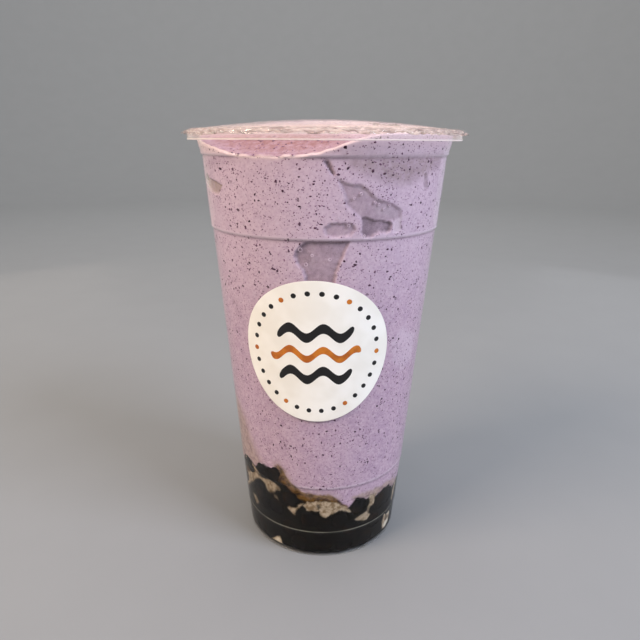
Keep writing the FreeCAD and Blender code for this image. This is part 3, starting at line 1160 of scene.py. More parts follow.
@dataclass
class Markings:
    """Works out the stored shares of what lies against the wall, and of the painted light and shade on
    it.
    """

    arc_mm: float = 0.6
    curls: Ripples = Ripples(11, 26, (4.0, 60.0), (0.15, 1.5))
    drifts: Ripples = Ripples(12, 26, (4.0, 60.0), (0.15, 1.5))
    frays: Ripples = Ripples(13, 40, (40.0, 190.0), (1.0, 5.0))
    fray: float = 0.16
    names: tuple[str, ...] = (
        "pale_and_lit", "air_shade", "warm_air_shade", "froth", "hollow", "dark", "amber", "cream", "milk_and_glint",
    )

    def patch_share(self, patch: Patch, azimuth: Array, height: Array) -> Array:
        """A patch's share at points of the wall, its outline shaken by its curl.

        Args:
            patch: The marking.
            azimuth: Azimuths of the points, in degrees.
            height: Heights of the points.

        Returns:
            Shares from 0 to 1, before the patch's strength.
        """
        turn = np.radians(azimuth)
        torn = self.fray * self.frays.at(turn, height)
        across = azimuth * self.arc_mm + patch.curl * self.curls.at(turn, height) + torn
        up = height + patch.curl * self.drifts.at(turn, height) - torn
        outline = np.array(patch.outline) * (self.arc_mm, 1.0)
        return inside_share(across, up, outline, patch.soft)

    def read(self, patches: Sequence[Patch], azimuth: Array, height: Array) -> tuple[Shares, Array]:
        """Lays patches over each other.

        A patch with a rim is stronger in a band just inside its outline: painted shade round a pocket's
        edge.

        Args:
            patches: The markings, the lowest first.
            azimuth: Azimuths of the points, in degrees.
            height: Heights of the points.

        Returns:
            The share of each name, and how far the surface is pressed in.
        """
        shares = {name: np.zeros(azimuth.shape) for name in self.names + ("warm",)}
        depth = np.zeros(azimuth.shape)
        for patch in patches:
            share = self.patch_share(patch, azimuth, height)
            strength = patch.strength * share
            if patch.rim:
                core = self.patch_share(
                    Patch("", patch.outline, soft=patch.soft + 3.0), azimuth, height
                )
                strength = strength + patch.rim * share * (1.0 - ease(core, 0.5, 0.95))
            shares[patch.share] = joined(shares[patch.share], strength)
            if patch.share == "dark":
                shares["cream"] = shares["cream"] * (1.0 - strength)
            depth = np.maximum(depth, patch.depth * ease(share, 0.15, 1.0))
        return shares, depth


@dataclass
class Contents:
    """What fills the cup: the surfaces that the pearls and the smoothie share."""

    cup: Cup
    film_crown: float
    reach: float = 0.1
    headspace: float = 0.25
    hollow_azimuth: float = -22.0
    hollow_depth: float = 7.0
    hollow_spread: Pair = (50.0, 34.0)
    hollow_softness: float = 2.5
    hollow_reach: float = 18.0
    edge_swells: tuple[Triple, ...] = ((1.0, -0.8, 8.0), (-54.0, 0.5, 7.0))
    edge_reach: float = 6.0
    swirls: Ripples = Ripples(21, 16, (1.0, 9.0), (0.05, 0.35))
    swirl_rise: float = 0.12
    bed_level: float = 22.5
    bed_edge_level: float = 30.0
    bed_mounds: tuple[tuple[float, float, float, float], ...] = (
        (-62, 2.5, 13, 8), (-40, 0.5, 11, 6), (-29, 0.5, 13, 5.5),
        (-12, 0.5, 6.5, 6), (3, 0.5, 5, 7), (24, 0.5, 3.5, 4),
        (35, 0.5, 2.5, 3.5), (50, 0.5, 3, 5), (80, 2.5, 5, 7),
        (105, 3.5, 8.5, 8), (135, 2.5, 5, 7), (165, 3.5, 8, 8),
        (-160, 2.5, 4.5, 7), (-130, 3.5, 9.5, 9), (-95, 2.5, 7, 8),
        (0, 31.5, 7, 12), (150, 16.5, 4, 7), (-90, 16.5, 5, 8),
    )
    front: Pair = (-82.0, 72.0)
    front_step: float = 0.6
    back_step: float = 2.0
    markings: Markings = field(default_factory=Markings)

    def azimuths(self) -> Array:
        """Azimuths of the columns: close together at the front, wider at the back."""
        low, high = self.front
        near = np.arange(low, high, self.front_step)
        far = np.arange(high, low + 360.0, self.back_step)
        return np.concatenate([near, far])

    def wall(self, height: Array) -> Array:
        """Radius of what lies against the wall, which reaches just into it."""
        return self.cup.inside(height) + self.reach

    def bed_height(self, azimuth: Array, radius: Array) -> Array:
        """Height of the pearl bed: its level plus a smooth hill for each mound."""
        inside = float(self.cup.inside(np.array(self.bed_level)))
        here = on_cup(azimuth, radius, np.zeros_like(radius))
        height = np.full(here.shape[:-1], self.bed_level)
        for turn, inset, rise, spread in self.bed_mounds:
            centre = on_cup(np.array(turn), np.array(inside - inset), np.array(0.0))
            height += rise * np.exp(-np.sum((here - centre) ** 2, -1) / spread**2)
        return height

    def hollow_share(self, azimuth: Array, radius: Array) -> Array:
        """How deep the hollow beside the wall is, from 0 to 1: a bell in both directions."""
        turn = half_turned(azimuth - self.hollow_azimuth)
        spread = np.where(turn > 0, self.hollow_spread[1], self.hollow_spread[0])
        across = (np.abs(turn) / spread) ** self.hollow_softness
        inwards = (np.maximum(self.cup.bore_radius - radius, 0.0) / self.hollow_reach) ** 2
        return np.exp(-across - inwards)

    def drink_height(self, azimuth: Array, radius: Array) -> Array:
        """Height of the smoothie's top: a low dome under the film, less the hollow."""
        dome = self.cup.height + self.cup.dome_rise(self.film_crown, radius) - self.headspace
        inset = np.maximum(self.cup.bore_radius - radius, 0.0)
        swell = 0.16 * Ripples(22, 20, (12.0, 70.0), (0.1, 0.6)).at(np.radians(azimuth), radius)
        for turn, rise, spread in self.edge_swells:
            swell = swell + rise * np.exp(-(((azimuth - turn) / spread) ** 2))
        hollow = self.hollow_share(azimuth, radius)
        deep = self.hollow_depth + 0.9 - self.headspace
        return dome - deep * hollow + swell * hollow * np.exp(-((inset / self.edge_reach) ** 2))

    def top_height(self, azimuth: Array, radius: Array) -> Array:
        """Height of the smoothie's top with its faint swirls."""
        swirl = self.swirls.at(np.radians(azimuth), radius)
        return self.drink_height(azimuth, radius) + self.swirl_rise * swirl

    def drink_edge(self, azimuth: Array) -> Array:
        """Height of the smoothie's top at the wall."""
        return self.drink_height(azimuth, np.full(azimuth.shape, self.cup.bore_radius))

    def bed_edge(self, azimuth: Array) -> Array:
        """Height of the pearl bed at the wall."""
        radius = float(self.cup.inside(np.array(self.bed_edge_level)))
        return self.bed_height(azimuth, np.full(azimuth.shape, radius))

    def shares(self, azimuth: Array, height: Array) -> tuple[Shares, Array]:
        """Shares and depth of everything against the wall, painted light and shade among them.

        Args:
            azimuth: Azimuths of the points, in degrees.
            height: Heights of the points.

        Returns:
            The share of each name, and how far the surface is pressed in.
        """
        azimuth = half_turned(azimuth)
        shares, depth = self.markings.read(AIR_POCKETS + BED_PATCHES, azimuth, height)
        under = ease(shares["cream"], 0.0, 0.6) * ease(height, 44.0, 42.0)
        shares["dark"] = np.maximum(shares["dark"], under)
        warm = shares.pop("warm") * (1.0 - shares["dark"])
        shares["cream"] = joined(shares["cream"], 0.6 * warm)
        shares["amber"] = joined(shares["amber"], 0.4 * warm)
        # Painted shade just under each ring of the wall, and a painted highlight just above it.
        for low, high, _ in self.cup.steps()[1:-1]:
            under = ease(height, low - 0.7, low) * (1.0 - ease(height, low, high))
            above = ease(height, low, high) * (1.0 - ease(height, high + 0.2, high + 0.9))
            shares["air_shade"] = np.maximum(shares["air_shade"], 0.55 * under)
            shares["pale_and_lit"] = np.maximum(shares["pale_and_lit"], 0.55 * above)
        # Painted light: paler towards the top.
        shares["pale_and_lit"] = joined(shares["pale_and_lit"], 0.32 * ease(height, 80.0, 135.0))
        edge = self.drink_edge(azimuth)
        width = 1.0 + 2.6 * ease(-azimuth, 44.0, 62.0) * ease(azimuth, -115.0, -90.0)
        deep = self.hollow_share(azimuth, np.full(azimuth.shape, self.cup.bore_radius))
        froth = (1.0 - ease(edge - height, 0.0, 1.5 * width)) * ease(deep, 0.12, 0.4)
        shares["froth"] = froth * 0.7
        shares["air_shade"] = shares["air_shade"] * (1.0 - froth)
        return shares, depth

    def store(self, piece: Piece, shares: list[Shares]) -> None:
        """Stores the shares of a piece, given for its runs of vertices one after another.

        Args:
            piece: The piece.
            shares: For each run, the share of each name.
        """
        for name in self.markings.names:
            set_share(piece, name, np.concatenate([run[name].ravel() for run in shares]))

    def even(self, count: int, **given: float) -> Shares:
        """The same shares for a run of vertices: 0 where none is given."""
        return {name: np.full(count, given.get(name, 0.0)) for name in self.markings.names}


@dataclass
class Smoothie:
    """The blended drink, the flecks of skin in it and the air pockets against the wall."""

    contents: Contents
    side_fine: float = 0.4
    side_coarse: float = 1.1
    top_rows: int = 22
    under_rows: int = 8
    top_froth: float = 0.85
    froth_loss: float = 0.6
    fleck_heights: Pair = (21.0, 155.5)
    widest_height: float = 156.0
    label_middle: Pair = (-4.0, 86.7)
    label_arc_mm: float = 0.65
    label_reach: float = 24.0
    fleck_turn_radius: float = 36.0
    bubble_turn_radius: float = 40.0
    crumb_count: int = 44
    crumb_patch: tuple[Pair, Pair] = ((13.5, -31.0), (22.5, -23.5))
    seed: int = 64

    def side_rows(self) -> Array:
        """Heights of the rows up the side, before they are fitted to its uneven ends."""
        coarse, fine = self.side_coarse, self.side_fine
        low, middle = np.arange(26.0, 44.0, fine), np.arange(44.0, 108.0, coarse)
        high = np.arange(108.0, 151.0, fine)
        return np.concatenate([low, middle, high, [151.0, 151.3, 151.5, 151.6]])

    def side(self, azimuth: Array) -> tuple[Array, Array]:
        """Azimuths and heights of the side: the rows, drawn down to the bed and up to the top.

        Args:
            azimuth: Azimuths of the columns.

        Returns:
            Two arrays of (row, column).
        """
        rows = self.side_rows()[:, None]
        turn = np.broadcast_to(azimuth[None, :], (len(rows), len(azimuth)))
        low = self.contents.bed_edge(turn) - rows[0]
        high = self.contents.drink_edge(turn) - rows[-1]
        down = np.clip((46.0 - rows) / (46.0 - rows[0]), 0.0, 1.0)
        up = np.clip((rows - 138.0) / (rows[-1] - 138.0), 0.0, 1.0)
        return turn, rows + low * down + high * up

    def body(self, finish: Material) -> None:
        """Builds the drink as one closed surface: under side, side and top.

        Args:
            finish: The blended ube.
        """
        contents = self.contents
        azimuth = contents.azimuths()
        turn, height = self.side(azimuth)
        shares, depth = contents.shares(turn, height)
        rounding = 0.5 * (1.0 - ease(height[-1:] - height, 0.0, 0.7)) ** 2
        side = on_cup(turn, contents.wall(height) - depth - rounding, height)

        under = np.linspace(0.12, 0.97, self.under_rows)[:, None]
        radius = under * np.hypot(side[0, :, 0], side[0, :, 1])[None, :]
        turn_low = np.broadcast_to(azimuth[None, :], radius.shape)
        below = on_cup(turn_low, radius, contents.bed_height(turn_low, radius))

        over = np.concatenate([[0.995, 0.985], np.linspace(0.97, 0.06, self.top_rows)])[:, None]
        radius = over * np.hypot(side[-1, :, 0], side[-1, :, 1])[None, :]
        turn_high = np.broadcast_to(azimuth[None, :], radius.shape)
        above = on_cup(turn_high, radius, contents.top_height(turn_high, radius))

        rings = np.concatenate([below, side, above])
        start = (0.0, 0.0, on_axis(contents.bed_height))
        end = (0.0, 0.0, on_axis(contents.drink_height))
        piece = ring_piece("smoothie_body", start, rings, end)
        deep = contents.hollow_share(turn_high, radius)
        top = contents.even(above[..., 0].size)
        # Painted shade on the top down in the hollow, less of it near the wall.
        near = np.exp(-(((contents.cup.bore_radius - radius) / 5.0) ** 2))
        top["hollow"] = (ease(deep, 0.1, 0.6) * (0.9 - 0.5 * near)).ravel()
        thin = 1.0 - self.froth_loss * ease(above[..., 1], -16.0, -2.0)
        top["froth"] = (self.top_froth * (1.0 - ease(deep, 0.02, 0.3)) * thin).ravel()
        runs = [contents.even(1, dark=1.0), contents.even(below[..., 0].size, dark=1.0)]
        pole = contents.even(1, froth=self.top_froth * (1.0 - self.froth_loss))
        contents.store(piece, runs + [shares, top, pole])
        seat(piece, finish, "smoothie")

    def scatter(
        self, draw: np.random.Generator, count: int, sizes: Pair
    ) -> tuple[Array, Array, Array]:
        """Places for flecks against the wall, clear of pockets, pearls and the label.

        Args:
            draw: The seeded source of random numbers.
            count: How many places are tried.
            sizes: The least and the largest fleck.

        Returns:
            Azimuths, heights and sizes.
        """
        contents = self.contents
        azimuth = draw.uniform(-180.0, 180.0, count)
        height = draw.uniform(*self.fleck_heights, count)
        widest = contents.wall(np.array(self.widest_height))
        keep = draw.uniform(0.0, 1.0, count) < contents.wall(height) / widest
        shares, depth = contents.shares(azimuth, height)
        edge = contents.drink_edge(azimuth)
        keep &= (depth < 0.12) & (height < edge - 0.5) & (shares["pale_and_lit"] < 0.62)
        keep &= (shares["dark"] + shares["cream"] + shares["amber"]) < 0.1
        across = (azimuth - self.label_middle[0]) * self.label_arc_mm
        keep &= across**2 + (height - self.label_middle[1]) ** 2 > self.label_reach**2
        crowd = Ripples(31, 24, (2.0, 30.0), (0.02, 0.6)).at(np.radians(azimuth), height)
        keep &= draw.uniform(0.0, 1.0, count) < 0.62 + 0.38 * crowd
        size = sizes[0] + (sizes[1] - sizes[0]) * draw.uniform(0.0, 1.0, count) ** 2.4
        return azimuth[keep], height[keep], size[keep]

    def lens(
        self, draw: np.random.Generator, count: int, sides: int
    ) -> tuple[Array, Array, list[Array]]:
        """Outlines of irregular flecks: uneven corners about a centre above and below.

        Args:
            draw: The seeded source of random numbers.
            count: How many flecks there are.
            sides: How many corners each has.

        Returns:
            Places across and along as (fleck, corner), and the faces of one fleck.
        """
        angle = np.arange(sides) * 2 * math.pi / sides + draw.uniform(0, 2 * math.pi, (count, 1))
        angle = angle + draw.uniform(-0.25, 0.25, (count, sides))
        reach = draw.uniform(0.65, 1.25, (count, sides)) / 2
        stretch = draw.uniform(0.75, 1.35, (count, 1))
        corner = np.arange(sides)
        ahead = (corner + 1) % sides
        top, bottom = np.full(sides, sides), np.full(sides, sides + 1)
        faces = np.concatenate(
            [np.stack([corner, ahead, top], -1), np.stack([ahead, corner, bottom], -1)]
        )
        across = reach * np.cos(angle) / stretch
        along = reach * np.sin(angle) * stretch
        zero = np.zeros((count, 2))
        return np.hstack([across, zero]), np.hstack([along, zero]), [faces]

    def lens_rise(self, shape: tuple[int, ...], edge: float, top: float, foot: float) -> Array:
        """How far a fleck's corners, its top and its foot stand out from where it lies."""
        rise = np.full(shape, edge)
        rise[:, -2] = top
        rise[:, -1] = foot
        return rise

    def flecks(self, finish: Material) -> None:
        """Builds the flecks of skin against the wall, the large ones bare and the small ones sunk.

        Args:
            finish: The ube skin.
        """
        draw = np.random.default_rng(self.seed)
        kinds = (
            ("ube_flecks", 7400, (0.34, 0.96), 0.05, 6),
            ("ube_fine_flecks", 40000, (0.26, 0.5), 0.42, 4),
        )
        for name, count, sizes, depth, sides in kinds:
            azimuth, height, size = self.scatter(draw, count, sizes)
            across, along, faces = self.lens(draw, len(size), sides)
            spot = height[:, None] + along * size[:, None]
            turn = azimuth[:, None] + np.degrees(across * size[:, None] / self.fleck_turn_radius)
            radius = self.contents.wall(spot) + self.lens_rise(spot.shape, 0.012, 0.03, -0.25)
            piece = copies_piece(name, on_cup(turn, radius, spot), faces)
            sunk = np.clip(depth + draw.normal(0.18, 0.2, len(size)), 0.0, 0.92)
            set_share(piece, "sunk", np.repeat(sunk, spot.shape[1]))
            seat(piece, finish)

    def top_flecks(self, finish: Material, count: int = 1700) -> None:
        """Builds the flecks on the smoothie's top, under the film.

        Args:
            finish: The ube skin.
            count: How many there are.
        """
        contents = self.contents
        draw = np.random.default_rng(self.seed + 1)
        radius = (contents.cup.bore_radius - 0.8) * np.sqrt(draw.uniform(0.0, 1.0, count))
        azimuth = draw.uniform(-180.0, 180.0, count)
        size = 0.25 + 0.7 * draw.uniform(0.0, 1.0, count) ** 2.6
        across, along, faces = self.lens(draw, count, 6)
        centre = on_cup(azimuth, radius, np.zeros(count))
        x = centre[:, :1] + across * size[:, None]
        y = centre[:, 1:2] + along * size[:, None]
        out, turn = np.hypot(x, y), np.degrees(np.arctan2(x, -y))
        height = contents.top_height(turn, out)
        upper = height + self.lens_rise(height.shape, 0.03, 0.07, -0.2)
        piece = copies_piece("ube_top_flecks", np.stack([x, y, upper], -1), faces)
        sunk = np.clip(draw.normal(0.68, 0.2, count), 0.0, 0.95)
        set_share(piece, "sunk", np.repeat(sunk, height.shape[1]))
        seat(piece, finish)

    def bubbles(self, finish: Material) -> None:
        """Builds the pale rings that small bubbles leave against the wall, as flattened tori.

        Args:
            finish: The froth.
        """
        draw = np.random.default_rng(self.seed + 2)
        azimuth, height, _ = self.scatter(draw, 90, (0.4, 0.8))
        known = np.array(KNOWN_BUBBLES)
        azimuth = np.concatenate([known[:, 0], azimuth])[:, None, None]
        height = np.concatenate([known[:, 1], height])[:, None, None]
        size = draw.uniform(0.25, 0.4, azimuth.shape)
        size[: len(known), 0, 0] = known[:, 2]
        round_ = (np.arange(12) * math.pi / 6)[None, :, None]
        section = (np.arange(6) * math.pi / 3)[None, None, :]
        reach = 0.85 * size + 0.12 * np.cos(section)
        spot = height + reach * np.sin(round_)
        turn = azimuth + np.degrees(reach * np.cos(round_) / self.bubble_turn_radius)
        radius = self.contents.wall(spot) - 0.02 + 0.07 * np.sin(section) + 0.0 * turn
        points = on_cup(turn, radius, spot)
        points = points.reshape(len(size), -1, 3)
        piece = copies_piece("froth_bubbles", points, torus_faces(12, 6))
        seat(piece, finish)

    def crumbs(self, finish: Material) -> None:
        """Builds the few crumbs of brown sugar that lie on the froth under the film.

        Args:
            finish: The brown sugar.
        """
        draw = np.random.default_rng(self.seed + 3)
        count = self.crumb_count
        across, along, faces = self.lens(draw, count, 6)
        size = draw.uniform(0.8, 1.9, count)[:, None]
        low, high = self.crumb_patch
        x = draw.uniform(low[0], high[0], (count, 1)) + across * size * 1.6
        y = draw.uniform(low[1], high[1], (count, 1)) + along * size
        height = self.contents.drink_height(np.degrees(np.arctan2(x, -y)), np.hypot(x, y))
        upper = height + self.lens_rise(height.shape, 0.05, 0.22, -0.2)
        piece = copies_piece("sugar_crumbs", np.stack([x, y, upper], -1), faces)
        seat(piece, finish)

    def build(self, pulp: Material, skin: Material, froth: Material, sugar: Material) -> None:
        """Builds the drink, its flecks, the bubbles against the wall and the crumbs on top."""
        self.body(pulp)
        self.flecks(skin)
        self.top_flecks(skin)
        self.bubbles(froth)
        self.crumbs(sugar)


@dataclass
class PearlBed:
    """Tapioca pearls in brown sugar syrup, streaked with cream and amber against the wall."""

    contents: Contents
    pearl: float = 8.6
    squash: float = 2.0
    arc_mm: float = 0.56
    rows_round: int = 12
    columns_round: int = 20
    kept_clear: Outline = ((-35.5, 4.0), (59.0, 7.5))
    seed: int = 5

    def core(self, finish: Material) -> None:
        """Builds the syrup that holds the pearls: floor, side and the bed's uneven top.

        Args:
            finish: The blended ube, whose dark, amber and cream shares draw the syrup.
        """
        contents = self.contents
        cup = contents.cup
        azimuth = contents.azimuths()
        base = cup.floor_height - contents.reach
        corner = cup.floor_corner
        angle = np.radians(np.linspace(0.0, 90.0, 7))[:, None]
        bottom = float(contents.wall(np.array(base + corner)))
        flat = np.linspace(0.1, 1.0, 6)[:-1, None] * (bottom - corner)
        start = base + corner
        edge = contents.bed_edge(azimuth)[None, :]
        rise = np.linspace(0.0, 1.0, 80)[1:, None]
        side_height = start + (edge - start) * rise
        level = np.zeros((1, len(azimuth)))
        bend_out = bottom - corner + corner * np.sin(angle) + level
        bend_up = base + corner - corner * np.cos(angle) + level
        radius = np.concatenate([flat + level, bend_out, contents.wall(side_height)])
        height = np.concatenate([np.full((len(flat), 1), base) + level, bend_up, side_height])
        turn = np.broadcast_to(azimuth[None, :], radius.shape)
        shares, _ = contents.shares(turn, height)
        low = contents.even(len(flat) * len(azimuth), dark=1.0)
        side = {name: values[len(flat) :] for name, values in shares.items()}
        over = np.linspace(0.97, 0.1, 8)[:, None] * radius[-1:]
        turn_top = np.broadcast_to(azimuth[None, :], over.shape)
        top = on_cup(turn_top, over, contents.bed_height(turn_top, over))
        rings = np.concatenate([on_cup(turn, radius, height), top])
        end = (0.0, 0.0, on_axis(contents.bed_height))
        piece = ring_piece("syrup_core", (0.0, 0.0, base), rings, end)
        dark = contents.even(1, dark=1.0)
        runs = [dark, low, side, contents.even(top[..., 0].size, dark=1.0), dark]
        contents.store(piece, runs)
        seat(piece, finish, "pearl_bed")

    def places(self) -> Array:
        """Where the pearls lie: those that show at the front, then staggered rows behind.

        Returns:
            Rows of (azimuth, height, diameter).
        """
        shown = [
            (-59.0, 32.6, 8.2), (-43.5, 34.3, 7.6), (-34.0, 34.6, 7.4), (-31.2, 36.3, 4.4),
            (-50.0, 23.6, 9.4), (-43.0, 19.6, 9.0), (-33.0, 20.6, 8.8), (-21.5, 26.2, 8.8),
            (-8.0, 17.6, 9.0), (4.0, 14.6, 8.6), (12.5, 17.0, 9.2), (26.0, 22.0, 8.6),
            (44.5, 20.0, 8.8), (53.5, 20.2, 8.2), (21.0, 13.2, 8.2),
        ]
        draw = np.random.default_rng(self.seed)
        found = list(shown)
        for level, height in enumerate((6.0, 12.5, 19.0, 25.0)):
            radius = float(self.contents.wall(np.array(height)))
            count = int(2 * math.pi * radius / (self.pearl * 1.03))
            for place in range(count):
                azimuth = (place + 0.5 * (level % 2)) * 360.0 / count + draw.uniform(-2.0, 2.0)
                azimuth = half_turned(azimuth)
                z = height + draw.uniform(-0.8, 0.8)
                size = self.pearl + draw.uniform(-0.6, 0.5)
                across = self.arc_mm
                gap = min(
                    math.hypot((azimuth - a) * across, z - h) / (size + d) * 2 for a, h, d in found
                )
                top = float(self.contents.bed_height(np.array([azimuth]), np.array([radius]))[0])
                behind = not -62.0 < azimuth < 60.0
                bare = min(math.hypot((azimuth - a) * across, z - h) for a, h in self.kept_clear)
                fits = gap > 0.86 and z + size / 2 < top + 1.0 and bare > size / 2 + 1.0
                if fits and (behind or height < 14.0):
                    found.append((azimuth, z, size))
        return np.array(found)

    def pearls(self, finish: Material) -> None:
        """Builds the pearls: soft balls that are pressed flat where they meet the wall.

        A ball's points keep their direction from its centre, and those past the wall or the floor
        are brought back to it.

        Args:
            finish: The cooked tapioca.
        """
        contents = self.contents
        azimuth, height, size = self.places().T
        draw = np.random.default_rng(self.seed + 1)
        down = (np.arange(self.rows_round) + 1) * math.pi / (self.rows_round + 1)
        round_ = np.arange(self.columns_round) * 2 * math.pi / self.columns_round
        ball = np.stack(
            [
                np.outer(np.sin(down), np.cos(round_)),
                np.outer(np.sin(down), np.sin(round_)),
                -np.outer(np.cos(down), np.ones_like(round_)),
            ],
            -1,
        ).reshape(-1, 3)
        ball = np.concatenate([[[0.0, 0.0, -1.0]], ball, [[0.0, 0.0, 1.0]]])
        uneven = draw.uniform(0.93, 1.07, (len(size), 1, 3))
        centre = on_cup(azimuth, contents.wall(height) - size / 2 + self.squash, height)
        points = centre[:, None] + ball[None] * uneven * size[:, None, None] / 2
        level = np.maximum(points[..., 2], contents.cup.floor_height - contents.reach / 2)
        out = np.hypot(points[..., 0], points[..., 1])
        limit = contents.wall(level) + 0.03
        pull = np.minimum(1.0, limit / np.maximum(out, 1e-6))
        points = np.stack([points[..., 0] * pull, points[..., 1] * pull, level], -1)
        faces = ring_faces(self.rows_round, self.columns_round)
        seat(copies_piece("tapioca_pearls", points, faces), finish)

    def foot_ring_glint(self, finish: Material) -> None:
        """Builds a thin pale torus in the step of the foot ring: a painted highlight for the light
        caught there.

        Args:
            finish: The pale finish of the painted highlight.
        """
        foot = self.contents.cup.steps()[0][1]
        turn = (np.arange(240) * 1.5)[:, None]
        section = (np.arange(8) * math.pi / 4)[None, :]
        height = foot + 0.12 + 0.16 * np.sin(section) + 0.0 * turn
        radius = self.contents.wall(height) + 0.05 + 0.05 * np.cos(section)
        points = on_cup(turn, radius, height).reshape(-1, 3)
        seat(make_piece("foot_ring_glint", points, torus_faces(240, 8)), finish)

    def build(self, syrup: Material, tapioca: Material, milk_and_glint: Material) -> None:
        """Builds the syrup, the pearls and the painted highlight in the foot ring."""
        self.core(syrup)
        self.pearls(tapioca)
        self.foot_ring_glint(milk_and_glint)


# ------------------------------
# The film and the sticker
# ------------------------------


@dataclass
class SealingFilm:
    """The film: a low dome, a weld on the rim and a hem that droops and crinkles."""

    cup: Cup
    crown: float
    hem_radius: float
    hem_low: float
    lift: float = 0.03
    thickness: float = 0.1
    columns: int = 840
    fold_lines: tuple[Pair, ...] = ((0.5, 0.28), (1.5, 0.2), (2.5, 0.28))

    @classmethod
    def from_frame(cls, cup: Cup) -> "SealingFilm":
        """Takes the film's crown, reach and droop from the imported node.

        Args:
            cup: The cup that it closes.

        Returns:
            The film's sizes.
        """
        low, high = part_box("sealing_film")
        crown = high.z / MM - cup.height - 0.15
        return cls(cup, crown, (high.x - low.x) / 2 / MM, low.z / MM)

    def height(self, azimuth: Array, radius: Array) -> Array:
        """Height of the film's underside.

        Inside the weld it is a round cap. Outside it droops by the square of the distance. Fine
        ripples run across both, and die out over the weld and towards the crown.

        Args:
            azimuth: Azimuths of the points, in degrees.
            radius: Distances from the axis.

        Returns:
            Heights of the points.
        """
        inner, outer = self.cup.land
        cap = self.cup.dome_rise(self.crown, radius)
        span = self.hem_radius - outer
        out = np.clip((radius - outer) / span, 0.0, 1.2)
        droop = (self.cup.height + self.lift - self.hem_low - 0.3) * out**1.5
        turn = np.radians(azimuth)
        crinkle = 0.8 - 2.0 * np.abs(Ripples(41, 30, (5.0, 44.0), (1.0, 5.5)).at(turn, radius))
        swell = Ripples(42, 18, (6.0, 30.0), (0.2, 1.2)).at(turn, radius)
        hem = ease(radius, outer - 0.2, outer + 1.2)
        shoulder = ease(radius, inner - 4.0, inner - 1.2) * (1.0 - ease(radius, inner - 0.7, inner))
        shake = hem * (0.34 * crinkle + 0.14 * swell) + shoulder * (0.1 * crinkle + 0.08 * swell)
        pucker = 0.2 * Ripples(43, 18, (40.0, 120.0), (0.3, 2.4)).at(turn, radius)
        weld = ease(radius, inner - 0.4, inner) * (1.0 - hem)
        return self.cup.height + self.lift + cap - droop + shake + np.abs(pucker) * weld

    def crease(self, azimuth: Array, radius: Array) -> Array:
        """How sharply the film is folded: 0 where it lies smooth, 1 in a fold, where the hem's dark
        tint paints shade.
        """
        inner, outer = self.cup.land
        turn = np.radians(azimuth)
        folds = ease(Ripples(45, 30, (2.0, 18.0), (3.0, 11.0)).at(turn, radius), 0.3, 0.8)
        drift = 0.5 * Ripples(46, 12, (3.0, 20.0), (0.0, 0.1)).at(turn, radius)
        # Fold lines round the hem, darkened by the hem's fold tint as painted shade.
        for line, width in self.fold_lines:
            folds = np.maximum(folds, np.exp(-(((radius + drift - outer - line) / width) ** 2)))
        slack = ease(radius, 33.0, inner - 1.0) * (0.9 - 0.6 * ease(-radius * np.cos(turn), 4.0, 20.0))
        return np.where(radius > inner - 0.05, folds, slack)

    def edge(self, azimuth: Array) -> Array:
        """Radius of the cut edge, a little uneven."""
        wave = Ripples(44, 14, (3.0, 44.0), (0.0, 0.1)).at(np.radians(azimuth), np.zeros(1))
        return self.hem_radius - 0.3 + 0.24 * np.clip(wave, -1.0, 1.0)

    def leaf(self, name: str, radius: Array, thickness: float) -> Piece:
        """Makes a thin closed leaf of film from its underside and its upper face.

        Args:
            name: Name of the piece.
            radius: Distances from the axis, as (row, column), the first row the innermost.
            thickness: How thick the leaf is.

        Returns:
            The new object.
        """
        turn = np.broadcast_to(self.turns(), radius.shape)
        ceiling = self.cup.height + self.crown + self.lift
        height = np.clip(self.height(turn, radius), self.hem_low + 0.02, ceiling)
        under = on_cup(turn, radius, height)
        upper = under + (0.0, 0.0, thickness)
        rings = np.concatenate([under, upper[::-1]])
        if radius[0, 0] > 10.0:
            points = rings.reshape(-1, 3)
            quads = ring_faces(len(rings), self.columns)[0] - 1
            last = np.arange(self.columns) + (len(rings) - 1) * self.columns
            first = np.arange(self.columns)
            seam = np.stack([last, np.roll(last, -1), np.roll(first, -1), first], -1)
            piece = make_piece(name, points, [np.concatenate([quads, seam])])
            crease = self.crease(turn, radius)
            set_share(piece, "crease", np.concatenate([crease, crease[::-1]]))
            return piece
        low = on_axis(self.height)
        piece = ring_piece(name, (0.0, 0.0, low), rings, (0.0, 0.0, low + thickness))
        crease = self.crease(turn, radius)
        rows = np.concatenate([crease, crease[::-1]]).ravel()
        set_share(piece, "crease", np.concatenate([[0.0], rows, [0.0]]))
        return piece

    def turns(self) -> Array:
        """Azimuths of the columns, as one row."""
        return np.arange(self.columns)[None, :] * 360.0 / self.columns

    def build(self, clear: Material, crimped: Material) -> None:
        """Builds the dome with its weld, and the loose hem outside it.

        Args:
            clear: The film over the dome.
            crimped: The film where it is shrunk and crinkled.
        """
        inner, outer = self.cup.land
        level = np.zeros_like(self.turns())
        inside = np.concatenate([np.linspace(4.0, inner - 8.0, 7), np.linspace(inner - 7.0, inner, 13)])
        dome = self.leaf("film_dome", inside[:, None] + level, self.thickness)
        seat(dome, clear, "sealing_film")
        weld = np.linspace(inner, outer, 5)[:-1, None] + level
        free = outer + (self.edge(self.turns()) - outer) * np.linspace(0.0, 1.0, 16)[:, None]
        hem = self.leaf("film_hem", np.concatenate([weld, free]), self.thickness)
        seat(hem, crimped)


class Ink(Enum):
    """The two inks of the sticker, each as its finish."""

    BLACK = PatchySolid("black_ink", "#100F10", "#0A090A", 3.0, 0.4, (0.35, 0.7))
    ORANGE = PatchySolid("orange_ink", "#C8741B", "#A9570F", 3.0, 0.4, (0.35, 0.7))


